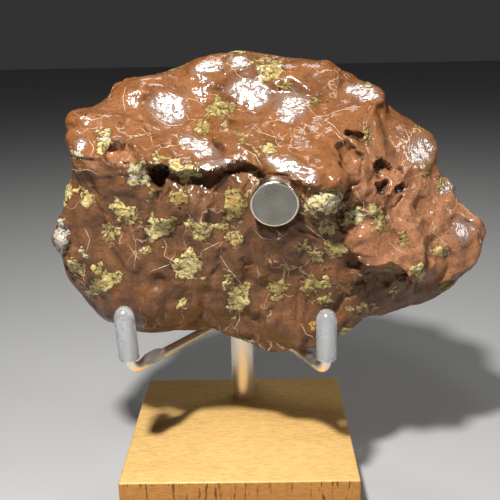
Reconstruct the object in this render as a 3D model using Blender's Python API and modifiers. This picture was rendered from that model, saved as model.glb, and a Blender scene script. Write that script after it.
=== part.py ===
"""A meteorite with a disc magnet on its face, resting on a wire display stand.

Run with: blender --background --python part.py
Metres, +Z up. The origin is the centre of the wooden base's underside, and -Y is the front.
Sizes below are in millimetres. Heights in STONE_MARKS are above the top of the wooden base.
"""

import math

import bmesh
import bpy
import numpy as np
from mathutils import Matrix, Vector

MM = 0.001
GAP = 0.3

# Wooden base
BASE_SIDE = 76.2
BASE_HEIGHT = 19.0
BASE_EDGE = 0.7
SOCKET_DEPTH = 10.0

# Post and arms
POST_DIAMETER = 9.0
POST_TOP = 37.0
POST_EDGE = 0.6
POST_PLACE = (0.6, 24.0)
POST_SIDES = 24
SOCKET_SIDES = 32
WIRE_DIAMETER = 3.2
WIRE_ROUNDNESS = 3
WIRE_BEND = 4.2
WIRE_BEND_STEPS = 7
ARM_HEIGHT = 34.0
ARM_BENDS = {
    "left": (-33.4, -28.5),
    "right": (27.6, -31.0),
    "back": (3.0, 40.5),
}
PRONG_TOPS = {
    "left": (-34.4, -28.5, 51.0),
    "right": (27.5, -31.0, 50.0),
    "back": (4.0, 44.5, 62.0),
}

# Clear sleeves and pads
SLEEVE_DIAMETER = 6.4
SLEEVE_START = 4.0
SLEEVE_DOME = 4.0
SLEEVE_EDGE = 0.3
SLEEVE_SIDES = 16
DOME_STEPS = 4
PAD_LENGTH = 12.4
PAD_WIDTH = 4.8
PAD_RISE = 1.2
PAD_SETBACK = 4.4
PAD_FLOOR = 0.4
PAD_SIDES = (16, 10)

# Disc magnet
MAGNET_DIAMETER = 14.0
MAGNET_THICKNESS = 5.0
MAGNET_EDGE = 0.4
MAGNET_CENTRE = (12.0, -33.7, 89.6)
MAGNET_DIP = 12.5
MAGNET_TURN = 1.0
MAGNET_SIDES = 40

# Stone: the point its surface is measured from, and its rough half sizes
STONE_CENTRE = (8.0, 3.0, 82.0)
STONE_HALF = (72.0, 39.0, 46.0)
STONE_CUTS = 23
FRONT_DENSITY = 0.28
SKIN_STIFFNESS = 1.5
SEAT_MARGIN = 2.5

# Behind and before its outline, the stone turns away: step in depth, pull towards the centre
SHOULDERS = ((11.0, 0.06), (-7.0, 0.05))
LOWER_EDGE = "lower edge, right to left"
OUTLINE_GROUPS = ("crown, left to right", "right end", "left end", LOWER_EDGE)

# Shallow scallops all over the skin, fading out near its outline
SCALLOP_COUNT = 140
SCALLOP_DEPTH = 2.6
SCALLOP_FLOOR = 0.25
SCALLOP_SPREAD = 0.35
SCALLOP_START = 10.0
SCALLOP_LEAST = 0.1
SCALLOP_SEED = 11

# Points on the stone's skin, (x, y, height), that its form passes through
STONE_MARKS = {
    "crown, left to right": (
        (-52.3, -14, 111), (-49.3, -10, 114), (-45, -5, 113.6), (-41, -2, 114.4), (-37, 0, 119),
        (-34, 2, 121), (-28, 6, 122), (-23, 8, 123), (-16, 10, 125), (-10, 12, 128),
        (-1, 12, 128.2), (7, 12, 130), (14, 12, 129.6), (18, 11, 127), (27, 8, 126),
        (32, 6, 125.6), (36.2, 5, 118.5), (39.4, 4, 117.2), (44.8, 2, 117.9), (48.4, 0, 116.4),
        (47.2, 0, 109.6), (53, 2, 109), (58, 2, 106), (63, 2, 103),
    ),
    "right end": (
        (65, 0, 97), (66, -2, 91), (70, -4, 85), (73, -5, 80.5), (77.5, -6, 76.5), (81.5, -6, 72),
        (79.3, -8, 69), (78, -8, 63), (75, -6, 57.5), (72, -2, 51), (66, 2, 46), (57, 0, 44),
    ),
    LOWER_EDGE: (
        (50, -5, 43), (39.3, -10, 43.5), (34.6, -16, 41.3), (31, -22, 40), (24.5, -25, 37.5),
        (17.8, -24, 38.4), (11, -21, 35.4), (6, -18, 36), (2, -17, 39), (-4, -18, 41.5),
        (-13.5, -14, 44.4), (-25, -14, 41), (-32, -12, 40), (-41.5, -8, 42.4), (-47.2, -6, 46.5),
    ),
    "left end": (
        (-53, -6, 53), (-55, -10, 58), (-55, -14, 64), (-57.3, -12, 70.2), (-59.5, -12, 73),
        (-56, -14, 78), (-51.6, -16, 84), (-52.5, -16, 89), (-49.8, -16, 94.1), (-49.4, -20, 101.2),
        (-49, -17, 105.8),
    ),
    "brow": (
        (-46, -25, 101), (-42, -28, 101), (-37, -30, 100), (-24, -31, 100), (-19, -32, 99),
        (-11, -34, 98), (-6, -35, 98), (-2, -34, 99), (3, -32, 101), (7, -33, 99),
        (10, -34.5, 96.5), (16, -36, 96), (24, -38, 93), (28, -38, 92), (34, -34, 93),
    ),
    "upper slope": (
        (-42, -16, 108), (-34, -8, 113), (-32, -18, 106), (-23, -8, 113), (-20, -22, 105),
        (-11, -28, 104), (-10, -6, 114), (2, 0, 118), (2, -18, 107),
        (10, 6, 123), (15, -8, 112), (17, -24, 103), (27, -14, 109), (28, -28, 102),
        (27, -2, 117), (36, -6, 114), (42, -10, 112), (52, -8, 103), (58, -8, 99),
    ),
    "right lobe": (
        (48, -16, 97), (39, -26, 97), (50, -20, 88), (57, -18, 85), (64, -14, 79),
        (71, -12, 73), (44, -26, 84), (39, -29, 81), (36, -31, 76), (47, -27, 75),
        (57, -22, 71), (68, -15, 66), (42, -31, 68), (48, -30, 69), (54, -27, 63),
        (64, -18, 61),
    ),
    "hollow under the right lobe": (
        (42, -22, 60), (47, -17, 54), (52, -16, 55), (32, -22, 54),
    ),
    "front face": (
        (-43, -24, 88), (-30, -30, 89), (-17, -33, 89), (-5, -33, 89), (5, -33, 84),
        (12, -33, 81), (22, -33, 81), (28, -31, 77), (-45, -22, 75), (-31, -27, 76),
        (-16, -29, 76), (-1, -30, 75), (17, -30, 70), (29, -28, 67), (-49, -18, 64),
        (-40, -21, 60), (-27, -25, 59), (-11, -25, 59), (4, -26, 59), (18, -26, 56),
        (28, -26.5, 54), (-35, -24.5, 54), (-34, -23, 49), (-18, -21, 48), (-2, -21, 47),
        (10, -22, 43), (23, -20, 42),
    ),
    "back": (
        (-25, 18, 118), (0, 24, 124), (22, 20, 121), (42, 12, 112),
        (-42, 14, 102), (-20, 30, 108), (5, 34, 112), (30, 28, 106), (54, 15, 94),
        (-50, 8, 82), (-32, 30, 84), (-6, 41, 86), (20, 43, 84), (46, 30, 78), (68, 12, 70),
        (-46, 10, 62), (-26, 28, 61), (0, 39, 62), (26, 36, 60), (50, 22, 58),
        (-32, 12, 50), (-8, 24, 47), (15, 27, 46), (40, 14, 47), (3, 40.3, 58),
    ),
    "underside": (
        (-30, 2, 42), (-18.5, -5, 38.2), (-8, -4, 38.5), (4, -6, 38), (18, -10, 37),
        (31, -4, 39.5), (-6, 10, 40.5), (18, 8, 41),
    ),
}

# Hollows: centre on the skin, radius across, depth
HOLLOWS = (
    ("bowl above the brow", (-12, -28, 104), 10.0, 3.0),
    ("bowl on the left slope", (-23, -10, 112), 9.0, 2.6),
    ("bowl near the crown", (6, -2, 117), 10.0, 2.0),
    ("bowl above the magnet", (12, -24, 104), 9.0, 1.8),
    ("oval pit under the brow", (-34, -30, 99), 6.5, 3.6),
    ("thumbprint beside the lobe", (34, -26, 100), 6.5, 2.4),
    ("channel beside the knob", (35, -34, 88), 5.5, 2.6),
    ("cove above the ledge", (36, -32, 80), 5.5, 1.6),
    ("cove under the ledge", (44, -26, 60), 8.0, 2.4),
    ("dimple on the lobe", (57, -19, 84), 7.0, 1.2),
    ("back bowl, high", (-12, 34, 104), 15.0, 4.0),
    ("back bowl, right", (36, 32, 92), 14.0, 4.0),
    ("back bowl, left", (-38, 24, 78), 12.0, 3.5),
    ("back bowl, middle", (6, 42, 74), 13.0, 3.0),
    ("back bowl, low", (34, 30, 60), 11.0, 3.0),
    ("top dimple", (12, 14, 128), 11.0, 2.2),
    ("back dimple, low left", (-20, 28, 56), 9.0, 2.4),
)

# Crests: points along the skin, half width, height
CRESTS = (
    ("brow", ((-46, -25, 101), (-24, -31, 100), (-6, -35, 98), (3, -32, 101)), 4.0, 1.2),
    ("brow over the magnet", ((7, -33, 100), (16, -36, 97), (26, -38, 94)), 4.0, 1.2),
    ("ledge", ((36, -31, 72), (42, -31, 68), (54, -27, 63)), 4.0, 1.4),
    ("lobe rim", ((44, -12, 110), (40, -24, 98), (37, -31, 88)), 3.5, 1.2),
    ("back ridge", ((-44, 12, 96), (-14, 38, 90), (18, 40, 96), (52, 18, 88)), 6.0, 2.4),
)

# Grooves: points along the skin, half width, depth
GROOVES = (
    ("flute, left", ((-27, -31, 94), (-31, -27, 74)), 5.0, 1.8),
    ("flute, middle", ((-13, -34, 94), (-17, -30, 74)), 5.0, 1.6),
    ("flute beside the magnet", ((0, -33, 92), (-4, -31, 78)), 4.5, 1.4),
    ("flute, low left", ((-22, -25, 60), (-17, -20, 46)), 5.0, 1.4),
    ("flute, low middle", ((4, -27, 62), (2, -19, 45)), 5.0, 1.8),
    ("flute, low right", ((20, -28, 62), (23, -25, 46)), 4.5, 1.4),
    ("channel beside the lobe", ((35, -34, 92), (37, -30, 80), (32, -30, 68)), 5.0, 2.4),
    ("cleft in the shoulder", ((43, -18, 104), (40, -23, 99), (36, -29, 93)), 4.0, 2.4),
)


def clear_scene():
    for old in list(bpy.data.objects):
        bpy.data.objects.remove(old, do_unlink=True)


def collection(name, shown=True):
    made = bpy.data.collections.new(name)
    bpy.context.scene.collection.children.link(made)
    made.hide_render = not shown
    return made


def material(name, colour, roughness, metallic, alpha=1.0):
    made = bpy.data.materials.new(name)
    made.use_nodes = True
    shader = made.node_tree.nodes["Principled BSDF"]
    shader.inputs["Base Color"].default_value = (*colour, 1.0)
    shader.inputs["Roughness"].default_value = roughness
    shader.inputs["Metallic"].default_value = metallic
    shader.inputs["Alpha"].default_value = alpha
    made.diffuse_color = (*colour, alpha)
    return made


def place(obj, home, finish):
    home.objects.link(obj)
    obj.data.materials.append(finish)
    return obj


def mesh_object(name, bm, home, finish, smooth_angle=None):
    mesh = bpy.data.meshes.new(name)
    bm.to_mesh(mesh)
    bm.free()
    if smooth_angle is not None:
        mesh.shade_smooth()
        mesh.set_sharp_from_angle(angle=math.radians(smooth_angle))
    return place(bpy.data.objects.new(name, mesh), home, finish)


def above_base(point):
    """A point given in millimetres above the wooden base's top, in metres from the origin."""
    x, y, height = point
    return Vector((x, y, height + BASE_HEIGHT)) * MM


def cylinder(name, diameter, bottom, top, sides, home, finish):
    bm = bmesh.new()
    bmesh.ops.create_cone(
        bm,
        cap_ends=True,
        segments=sides,
        radius1=diameter / 2 * MM,
        radius2=diameter / 2 * MM,
        depth=(top - bottom) * MM,
    )
    bmesh.ops.translate(bm, verts=bm.verts, vec=(0, 0, (top + bottom) / 2 * MM))
    return mesh_object(name, bm, home, finish, smooth_angle=40)


def bevel(obj, width, segments):
    modifier = obj.modifiers.new("eased edges", "BEVEL")
    modifier.width = width * MM
    modifier.segments = segments
    modifier.limit_method = "ANGLE"
    modifier.angle_limit = math.radians(40)
    return modifier


def cut(obj, cutter):
    modifier = obj.modifiers.new("cut by " + cutter.name, "BOOLEAN")
    modifier.operation = "DIFFERENCE"
    modifier.solver = "EXACT"
    modifier.object = cutter
    cutter.display_type = "WIRE"
    cutter.hide_render = True


def make_base(home, cutters, wood):
    bm = bmesh.new()
    bmesh.ops.create_cube(bm, size=1.0)
    size = (BASE_SIDE * MM, BASE_SIDE * MM, BASE_HEIGHT * MM)
    bmesh.ops.scale(bm, vec=size, verts=bm.verts)
    base = mesh_object("wood_base", bm, home, wood)
    base.location.z = BASE_HEIGHT / 2 * MM
    bevel(base, BASE_EDGE, 2)
    wide = POST_DIAMETER + 2 * GAP
    socket = cylinder(
        "socket_cutter", wide, -SOCKET_DEPTH - GAP, BASE_EDGE + GAP, SOCKET_SIDES, cutters, wood
    )
    socket.location = above_base((*POST_PLACE, 0))
    cut(base, socket)


def make_post(home, metal):
    post = cylinder("post", POST_DIAMETER, -SOCKET_DEPTH, POST_TOP, POST_SIDES, home, metal)
    post.location = above_base((*POST_PLACE, 0))
    bevel(post, POST_EDGE, 1)


def arm_line(side):
    """Where one arm starts, turns up and ends, in millimetres above the base's top."""
    corner = Vector((*ARM_BENDS[side], ARM_HEIGHT))
    inward = (Vector((*POST_PLACE, ARM_HEIGHT)) - corner).normalized()
    start = Vector((*POST_PLACE, ARM_HEIGHT)) - inward * (POST_DIAMETER / 2 + GAP)
    return start, corner, Vector(PRONG_TOPS[side])


def arm_points(side, past_end=0.0):
    """The arm's centre line: level from the post, round the bend and up the prong."""
    start, corner, top = arm_line(side)
    inward = (start - corner).normalized()
    up = (top - corner).normalized()
    half = inward.angle(up) / 2
    setback = WIRE_BEND / math.tan(half)
    middle = corner + (inward + up).normalized() * (WIRE_BEND / math.sin(half))
    first = corner + inward * setback - middle
    last = corner + up * setback - middle
    shares = [step / WIRE_BEND_STEPS for step in range(WIRE_BEND_STEPS + 1)]
    arc = [middle + first.slerp(last, share) * WIRE_BEND for share in shares]
    return [start, *arc, top + up * past_end]


def wire(name, points, diameter, home, finish):
    curve = bpy.data.curves.new(name, "CURVE")
    curve.dimensions = "3D"
    curve.bevel_depth = diameter / 2 * MM
    curve.bevel_resolution = WIRE_ROUNDNESS
    curve.use_fill_caps = True
    spline = curve.splines.new("POLY")
    spline.points.add(len(points) - 1)
    for node, point in zip(spline.points, points):
        node.co = (*above_base(point), 1.0)
    return place(bpy.data.objects.new(name, curve), home, finish)


def as_mesh(obj):
    """The curve's evaluated shape as a closed mesh object in its place."""
    home = obj.users_collection[0]
    bpy.context.view_layer.update()
    mesh = bpy.data.meshes.new_from_object(obj.evaluated_get(bpy.context.evaluated_depsgraph_get()))
    bm = bmesh.new()
    bm.from_mesh(mesh)
    bmesh.ops.remove_doubles(bm, verts=bm.verts, dist=0.00001)
    bmesh.ops.recalc_face_normals(bm, faces=bm.faces)
    bm.to_mesh(mesh)
    bm.free()
    name = obj.name
    made = bpy.data.objects.new(name + "_solid", mesh)
    made.matrix_world = obj.matrix_world
    home.objects.link(made)
    bpy.data.objects.remove(obj, do_unlink=True)
    made.name = name
    return made


def make_sleeve(side, home, cutters, clear):
    """A clear tube with a domed closed end, pushed over the prong as far as its bend."""
    _, corner, top = arm_line(side)
    up = (top - corner).normalized()
    outer = SLEEVE_DIAMETER / 2
    shoulder = (top - corner).length - SLEEVE_START + GAP
    angles = [math.pi / 2 * step / DOME_STEPS for step in range(1, DOME_STEPS + 1)]
    dome = [(outer * math.sin(angle), shoulder + SLEEVE_DOME * math.cos(angle)) for angle in angles]
    foot = [(outer, SLEEVE_EDGE), (outer - SLEEVE_EDGE, 0.0), (0.0, 0.0)]
    profile = [(0.0, shoulder + SLEEVE_DOME), *dome, *foot]
    bm = bmesh.new()
    made = [bm.verts.new((radius * MM, 0, height * MM)) for radius, height in profile]
    for first, second in zip(made, made[1:]):
        bm.edges.new((first, second))
    sleeve = mesh_object(side + "_sleeve", bm, home, clear)
    screw = sleeve.modifiers.new("turn", "SCREW")
    screw.steps = screw.render_steps = SLEEVE_SIDES
    screw.use_merge_vertices = True
    screw.merge_threshold = 0.00002
    screw.use_smooth_shade = True
    sleeve.location = above_base(corner + up * SLEEVE_START)
    sleeve.rotation_mode = "QUATERNION"
    sleeve.rotation_quaternion = up.to_track_quat("Z", "Y")
    bore_name = side + "_sleeve_bore_cutter"
    bore = wire(bore_name, arm_points(side, GAP), WIRE_DIAMETER + 2 * GAP, cutters, clear)
    cut(sleeve, as_mesh(bore))


def make_pad(side, home, cutters, clear):
    """A clear soft saddle on top of an arm, just behind its bend."""
    start, corner, _ = arm_line(side)
    inward = (start - corner).normalized()
    middle = corner + inward * (PAD_SETBACK + PAD_LENGTH / 2)
    turn = Matrix.Rotation(math.atan2(inward.y, inward.x), 4, "Z")
    bm = bmesh.new()
    around, along = PAD_SIDES
    bmesh.ops.create_uvsphere(bm, u_segments=around, v_segments=along, radius=1.0)
    size = (PAD_LENGTH / 2 * MM, PAD_WIDTH / 2 * MM, (WIRE_DIAMETER / 2 + PAD_RISE) * MM)
    bmesh.ops.scale(bm, vec=size, verts=bm.verts)
    pad = mesh_object(side + "_pad", bm, home, clear, smooth_angle=50)
    pad.matrix_world = Matrix.Translation(above_base(middle)) @ turn
    ends = [corner + inward * reach for reach in (0.0, 2 * PAD_SETBACK + PAD_LENGTH)]
    channel = wire(side + "_pad_wire_cutter", ends, WIRE_DIAMETER + 2 * GAP, cutters, clear)
    cut(pad, as_mesh(channel))
    bm = bmesh.new()
    bmesh.ops.create_cube(bm, size=PAD_LENGTH * 2 * MM)
    below = mesh_object(side + "_pad_floor_cutter", bm, cutters, clear)
    below.location = above_base(middle) - Vector((0, 0, (PAD_LENGTH - PAD_FLOOR) * MM))
    cut(pad, below)


def magnet_axis():
    dip, turn = math.radians(MAGNET_DIP), math.radians(MAGNET_TURN)
    return Vector(
        (-math.sin(turn) * math.cos(dip), -math.cos(turn) * math.cos(dip), -math.sin(dip))
    )


def make_magnet(home, nickel):
    magnet = cylinder(
        "magnet", MAGNET_DIAMETER, 0, MAGNET_THICKNESS, MAGNET_SIDES, home, nickel
    )
    bevel(magnet, MAGNET_EDGE, 1)
    magnet.location = above_base(MAGNET_CENTRE)
    magnet.rotation_mode = "QUATERNION"
    magnet.rotation_quaternion = magnet_axis().to_track_quat("Z", "Y")


def distances(a, b):
    return np.linalg.norm(a[:, None, :] - b[None, :, :], axis=2)


def radius_rule(marks):
    """The stone's reach along any direction, as a smooth surface through the marks."""
    centre, half = np.array(STONE_CENTRE), np.array(STONE_HALF)
    reach = (marks - centre) / half
    length = np.linalg.norm(reach, axis=1)
    toward = reach / length[:, None]
    count = len(marks)
    system = np.ones((count + 1, count + 1))
    system[:count, :count] = distances(toward, toward) ** SKIN_STIFFNESS
    system[count, count] = 0.0
    weights = np.linalg.solve(system, np.append(length, 0.0))

    def skin(directions):
        spread = distances(directions, toward) ** SKIN_STIFFNESS
        radius = spread @ weights[:count] + weights[count]
        return centre + directions * radius[:, None] * half

    return skin


def nearest_on_path(points, path):
    """Distance of each point from a line through the path's points."""
    best = np.full(len(points), np.inf)
    for a, b in zip(path, path[1:]):
        a, b = np.array(a, float), np.array(b, float)
        share = np.clip((points - a) @ (b - a) / ((b - a) @ (b - a)), 0, 1)
        away = np.linalg.norm(points - (a + share[:, None] * (b - a)), axis=1)
        best = np.minimum(best, away)
    return best


def outline_shoulders():
    """Points beside each outline point, where the skin has turned away from the outline."""
    middle = np.array(STONE_CENTRE)
    for group in OUTLINE_GROUPS:
        if group == LOWER_EDGE:
            continue
        for mark in STONE_MARKS[group]:
            for step, pull in SHOULDERS:
                x, y, height = middle + (np.array(mark) - middle) * (1 - pull)
                yield (x, mark[1] + step, height)


def scallops(points):
    """A web of low crests round shallow bowls: how far each point stands off the skin."""
    spread = np.random.default_rng(SCALLOP_SEED)
    chosen = [int(spread.integers(len(points)))]
    away = distances(points, points[chosen]).min(axis=1)
    reach = np.exp(spread.normal(0.0, SCALLOP_SPREAD, len(points)))
    while len(chosen) < SCALLOP_COUNT:
        chosen.append(int(np.argmax(away * reach)))
        away = np.minimum(away, distances(points, points[chosen[-1:]])[:, 0])
    return SCALLOP_DEPTH * ((away / away.max()) ** 2 - SCALLOP_FLOOR)


def carve(points):
    """Presses the hollows into the skin and raises the crests."""
    outward = points - np.array(STONE_CENTRE)
    outward /= np.linalg.norm(outward, axis=1)[:, None]
    outline = np.array([mark for group in OUTLINE_GROUPS for mark in STONE_MARKS[group]], float)
    from_outline = distances(points, outline).min(axis=1) / SCALLOP_START
    shift = scallops(points) * np.clip(from_outline, SCALLOP_LEAST, 1.0)
    for _, middle, radius, depth in HOLLOWS:
        away = np.linalg.norm(points - np.array(middle, float), axis=1) / radius
        shift -= depth * np.clip(1 - away**2, 0, None)
    for _, path, width, depth in GROOVES:
        away = nearest_on_path(points, path) / width
        shift -= depth * np.clip(1 - away**2, 0, None)
    for _, path, width, height in CRESTS:
        away = nearest_on_path(points, path) / width
        shift += height * np.clip(1 - away, 0, None)
    return points + outward * shift[:, None]


def seat(points):
    """Flattens the skin where the magnet sits, and keeps it just clear of the stand."""
    centre, axis = np.array(MAGNET_CENTRE), np.array(magnet_axis())
    above = (points - centre) @ axis + GAP
    beside = np.linalg.norm(np.cross(points - centre, axis), axis=1)
    under = (above > 0) & (beside < MAGNET_DIAMETER / 2 + SEAT_MARGIN)
    points[under] -= above[under, None] * axis
    for side in ARM_BENDS:
        start, corner, top = (np.array(place) for place in arm_line(side))
        flat = points * (1, 1, 0)
        level = nearest_on_path(flat, (start * (1, 1, 0), corner * (1, 1, 0)))
        floor = ARM_HEIGHT + WIRE_DIAMETER / 2 + GAP
        near = level < SEAT_MARGIN + WIRE_DIAMETER / 2
        points[near, 2] = np.maximum(points[near, 2], floor)
        if side != "back":
            padded = PAD_SETBACK + PAD_LENGTH + SEAT_MARGIN
            over = near & (np.linalg.norm(flat - corner * (1, 1, 0), axis=1) < padded)
            points[over, 2] = np.maximum(points[over, 2], floor + PAD_RISE)
        share = np.maximum((points[:, 2] - corner[2]) / (top[2] - corner[2]), 0)
        line = corner + share[:, None] * (top - corner)
        beside = np.abs(points[:, 0] - line[:, 0]) < SLEEVE_DIAMETER / 2 + SEAT_MARGIN
        low = points[:, 2] < top[2] + SLEEVE_DOME + GAP
        if side == "back":
            wall = line[:, 1] - SLEEVE_DIAMETER / 2 - GAP
            held = beside & low & (points[:, 1] > 0)
            points[held, 1] = np.minimum(points[held, 1], wall[held])
        else:
            wall = line[:, 1] + SLEEVE_DIAMETER / 2 + GAP
            held = beside & low & (points[:, 1] < 0)
            points[held, 1] = np.maximum(points[held, 1], wall[held])
    return points


def make_stone(home, crust):
    bm = bmesh.new()
    bmesh.ops.create_cube(bm, size=2.0)
    bmesh.ops.subdivide_edges(bm, edges=bm.edges[:], cuts=STONE_CUTS, use_grid_fill=True)
    even = np.array([vertex.co for vertex in bm.verts])
    even = np.tan(even * math.pi / 4)
    directions = even / np.linalg.norm(even, axis=1)[:, None]
    directions[:, 1] -= FRONT_DENSITY
    directions /= np.linalg.norm(directions, axis=1)[:, None]
    marks = [mark for group in STONE_MARKS.values() for mark in group]
    marks = np.array([*marks, *outline_shoulders()], float)
    points = seat(carve(radius_rule(marks)(directions)))
    for vertex, point in zip(bm.verts, points):
        vertex.co = above_base(point)
    bmesh.ops.triangulate(bm, faces=bm.faces[:], quad_method="SHORT_EDGE")
    bmesh.ops.recalc_face_normals(bm, faces=bm.faces[:])
    mesh_object("meteorite", bm, home, crust, smooth_angle=60)


def main():
    clear_scene()
    home = collection("meteorite_on_stand")
    cutters = collection("cutters", shown=False)
    wood = material("stained_wood", (0.50, 0.26, 0.10), 0.45, 0.0)
    brass = material("polished_brass", (0.78, 0.66, 0.48), 0.18, 1.0)
    clear = material("clear_vinyl", (0.82, 0.84, 0.84), 0.3, 0.0, alpha=0.6)
    nickel = material("nickel_plate", (0.62, 0.61, 0.58), 0.15, 1.0)
    crust = material("glossy_crust", (0.26, 0.09, 0.045), 0.28, 0.0)
    make_base(home, cutters, wood)
    make_post(home, brass)
    for side in ARM_BENDS:
        wire(side + "_arm", arm_points(side), WIRE_DIAMETER, home, brass)
        make_sleeve(side, home, cutters, clear)
    for side in ("left", "right"):
        make_pad(side, home, cutters, clear)
    make_magnet(home, nickel)
    make_stone(home, crust)


main()
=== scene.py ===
# %% [markdown]
# # A meteorite on its display stand
#
# A fist-sized meteorite with a varnished red-brown skin stands on a small wire stand, with a disc
# magnet stuck to its face to show that it holds iron. The lesson dresses a fixed model of it: the
# solids are loaded as a frame, and every finished surface is built where the frame says.
# Named lengths are millimetres, angles are degrees and places in the photograph are pixels.
# Blender itself measures in metres, so a length is multiplied by MM where Blender reads it.

# %% Load the fixed frame
import math

import bmesh
import bpy
import numpy as np
from mathutils import Euler, Matrix, Vector, noise
from mathutils.bvhtree import BVHTree


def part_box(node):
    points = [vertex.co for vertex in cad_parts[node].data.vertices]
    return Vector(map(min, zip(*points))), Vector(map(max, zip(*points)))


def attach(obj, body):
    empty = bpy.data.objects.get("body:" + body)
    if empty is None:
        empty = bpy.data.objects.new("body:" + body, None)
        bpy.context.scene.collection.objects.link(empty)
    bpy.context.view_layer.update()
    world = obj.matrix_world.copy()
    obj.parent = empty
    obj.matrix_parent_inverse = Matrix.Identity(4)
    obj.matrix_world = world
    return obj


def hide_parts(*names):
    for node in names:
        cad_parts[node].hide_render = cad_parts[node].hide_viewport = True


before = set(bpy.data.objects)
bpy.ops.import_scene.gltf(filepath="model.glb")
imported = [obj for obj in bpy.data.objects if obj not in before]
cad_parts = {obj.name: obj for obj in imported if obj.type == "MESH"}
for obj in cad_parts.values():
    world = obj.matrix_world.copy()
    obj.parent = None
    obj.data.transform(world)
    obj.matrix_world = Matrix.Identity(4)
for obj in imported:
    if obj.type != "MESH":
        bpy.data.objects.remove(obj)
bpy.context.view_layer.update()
MM = 0.001
print("frame nodes:", ", ".join(sorted(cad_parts)))

# %% [markdown]
# ## Making and reading objects
#
# Each piece ends as a mesh in an object in the scene. Blender's operators could add it as well, but
# they depend on what is selected, and these helpers don't.


# %% Object helpers
def in_scene(name, data):
    """A new object of the given mesh, lamp or camera, put in the scene."""
    obj = bpy.data.objects.new(name, data)
    bpy.context.scene.collection.objects.link(obj)
    return obj


def soften(mesh, sharpest):
    """Smooth shading, but for edges that turn by more than the given angle."""
    mesh.shade_smooth()
    mesh.set_sharp_from_angle(angle=math.radians(sharpest))


def solid(name, bm, sharpest=None):
    """The bmesh as an object in the scene, softened if an angle is given."""
    mesh = bpy.data.meshes.new(name)
    bm.to_mesh(mesh)
    bm.free()
    if sharpest is not None:
        soften(mesh, sharpest)
    return in_scene(name, mesh)


def join_corners(bm, within):
    """Joins corners that lie within a distance, and turns every face outward."""
    bmesh.ops.remove_doubles(bm, verts=bm.verts, dist=within * MM)
    bmesh.ops.recalc_face_normals(bm, faces=bm.faces)


def evaluated_mesh(obj):
    """The object's shape with its modifiers done, as a mesh of its own."""
    bpy.context.view_layer.update()
    return bpy.data.meshes.new_from_object(obj.evaluated_get(bpy.context.evaluated_depsgraph_get()))


def surface_of(obj):
    """The object's faces, ready for rays and for nearest points; it measures in metres."""
    bpy.context.view_layer.update()
    return BVHTree.FromObject(obj, bpy.context.evaluated_depsgraph_get())


def vectors(items, name):
    """A vector of each of a mesh's items, as rows."""
    flat = np.empty(len(items) * 3)
    items.foreach_get(name, flat)
    return flat.reshape(-1, 3)


def unit(rows):
    return rows / np.linalg.norm(rows, axis=1)[:, None]


# %% [markdown]
# ## The camera and the lamps
#
# The photograph was taken from a little above the stone and close to it. A square base seen in
# perspective fixes a camera: its four corners give the distance, the tilt and the lens. With a
# camera placed by hand, the marks that are read off the photograph would not land where they belong
# on the stone. The lamps are listed here too, because the stone's glossy facets are turned to them.

# %% Camera and lamps
CAMERA_PLACE = (7.4, -260.9, 156.8)
CAMERA_TURN = (74.32, 1.06, 0.39)
CAMERA_NEAREST = 20
LENS = 57.97
SENSOR = 36.0
PHOTO_SIDE = 500.0
LAMPS = {
    "key": {"place": (-72, -262, 420), "watts": 3.55, "across": 35},
    "front panel": {"place": (-30, -330, 570), "watts": 0.4, "across": 100},
    "back panel": {"place": (10, 235, 640), "watts": 0.6, "across": 130},
    "right panel": {"place": (520, -140, 420), "watts": 0.65, "across": 130},
}


def make_camera():
    lens = bpy.data.cameras.new("photo_camera")
    lens.lens = LENS
    lens.sensor_width = SENSOR
    lens.clip_start = CAMERA_NEAREST * MM
    camera = in_scene("photo_camera", lens)
    camera.location = Vector(CAMERA_PLACE) * MM
    camera.rotation_euler = Euler([math.radians(angle) for angle in CAMERA_TURN])
    bpy.context.scene.camera = camera
    return camera


camera_axes = np.array(make_camera().rotation_euler.to_matrix())
print(f"camera {abs(CAMERA_PLACE[1]):.0f} mm in front of the base's middle")

# %% [markdown]
# ## From the photograph to the stone
#
# Pits and pale inclusions are read off the photograph as pixels. The camera's perspective matches
# them to the stone both ways: a ray through a pixel finds the skin, and each point of the skin knows
# the pixel that it shows in.

# %% Pixels and points
EYE = np.array(CAMERA_PLACE)
EYE_M = Vector(CAMERA_PLACE) * MM
FOCAL_PIXELS = LENS / SENSOR * PHOTO_SIDE
MIDDLE_PIXEL = PHOTO_SIDE / 2


def pixels_of(points):
    """The photograph's pixel that each point shows in, as an x, y pair."""
    local = (points - EYE) @ camera_axes
    scale = FOCAL_PIXELS / -local[:, 2]
    return np.stack(
        (MIDDLE_PIXEL + local[:, 0] * scale, MIDDLE_PIXEL - local[:, 1] * scale), axis=1
    )


def ray_through(x, y):
    """The direction from the camera through a pixel."""
    local = np.array((x - MIDDLE_PIXEL, MIDDLE_PIXEL - y, -FOCAL_PIXELS))
    return Vector(camera_axes @ local).normalized()


# %% [markdown]
# ## The stone's skin
#
# The frame's stone has the main form in flat facets. A subdivision surface rounds them and gives
# four times as many points each way, close enough together to press pits and raise lumps of two
# millimetres by moving the points in code. A sculpting brush would do the same by hand, but code
# can be read, changed and run again.

# %% A finer copy of the stone
SKIN_LEVELS = 2
CORNER_REACH = 0.01


def finer_stone():
    bm = bmesh.new()
    bm.from_mesh(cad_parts["meteorite"].data)
    join_corners(bm, CORNER_REACH)
    coarse = solid("coarse_stone", bm)
    coarse.data.materials.clear()
    rounding = coarse.modifiers.new("round the facets", "SUBSURF")
    rounding.levels = rounding.render_levels = SKIN_LEVELS
    fine = evaluated_mesh(coarse)
    bpy.data.objects.remove(coarse, do_unlink=True)
    return in_scene("stone", fine)


def skin_points():
    return vectors(stone.data.vertices, "co") / MM


def skin_normals():
    return vectors(stone.data.vertex_normals, "vector")


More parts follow.
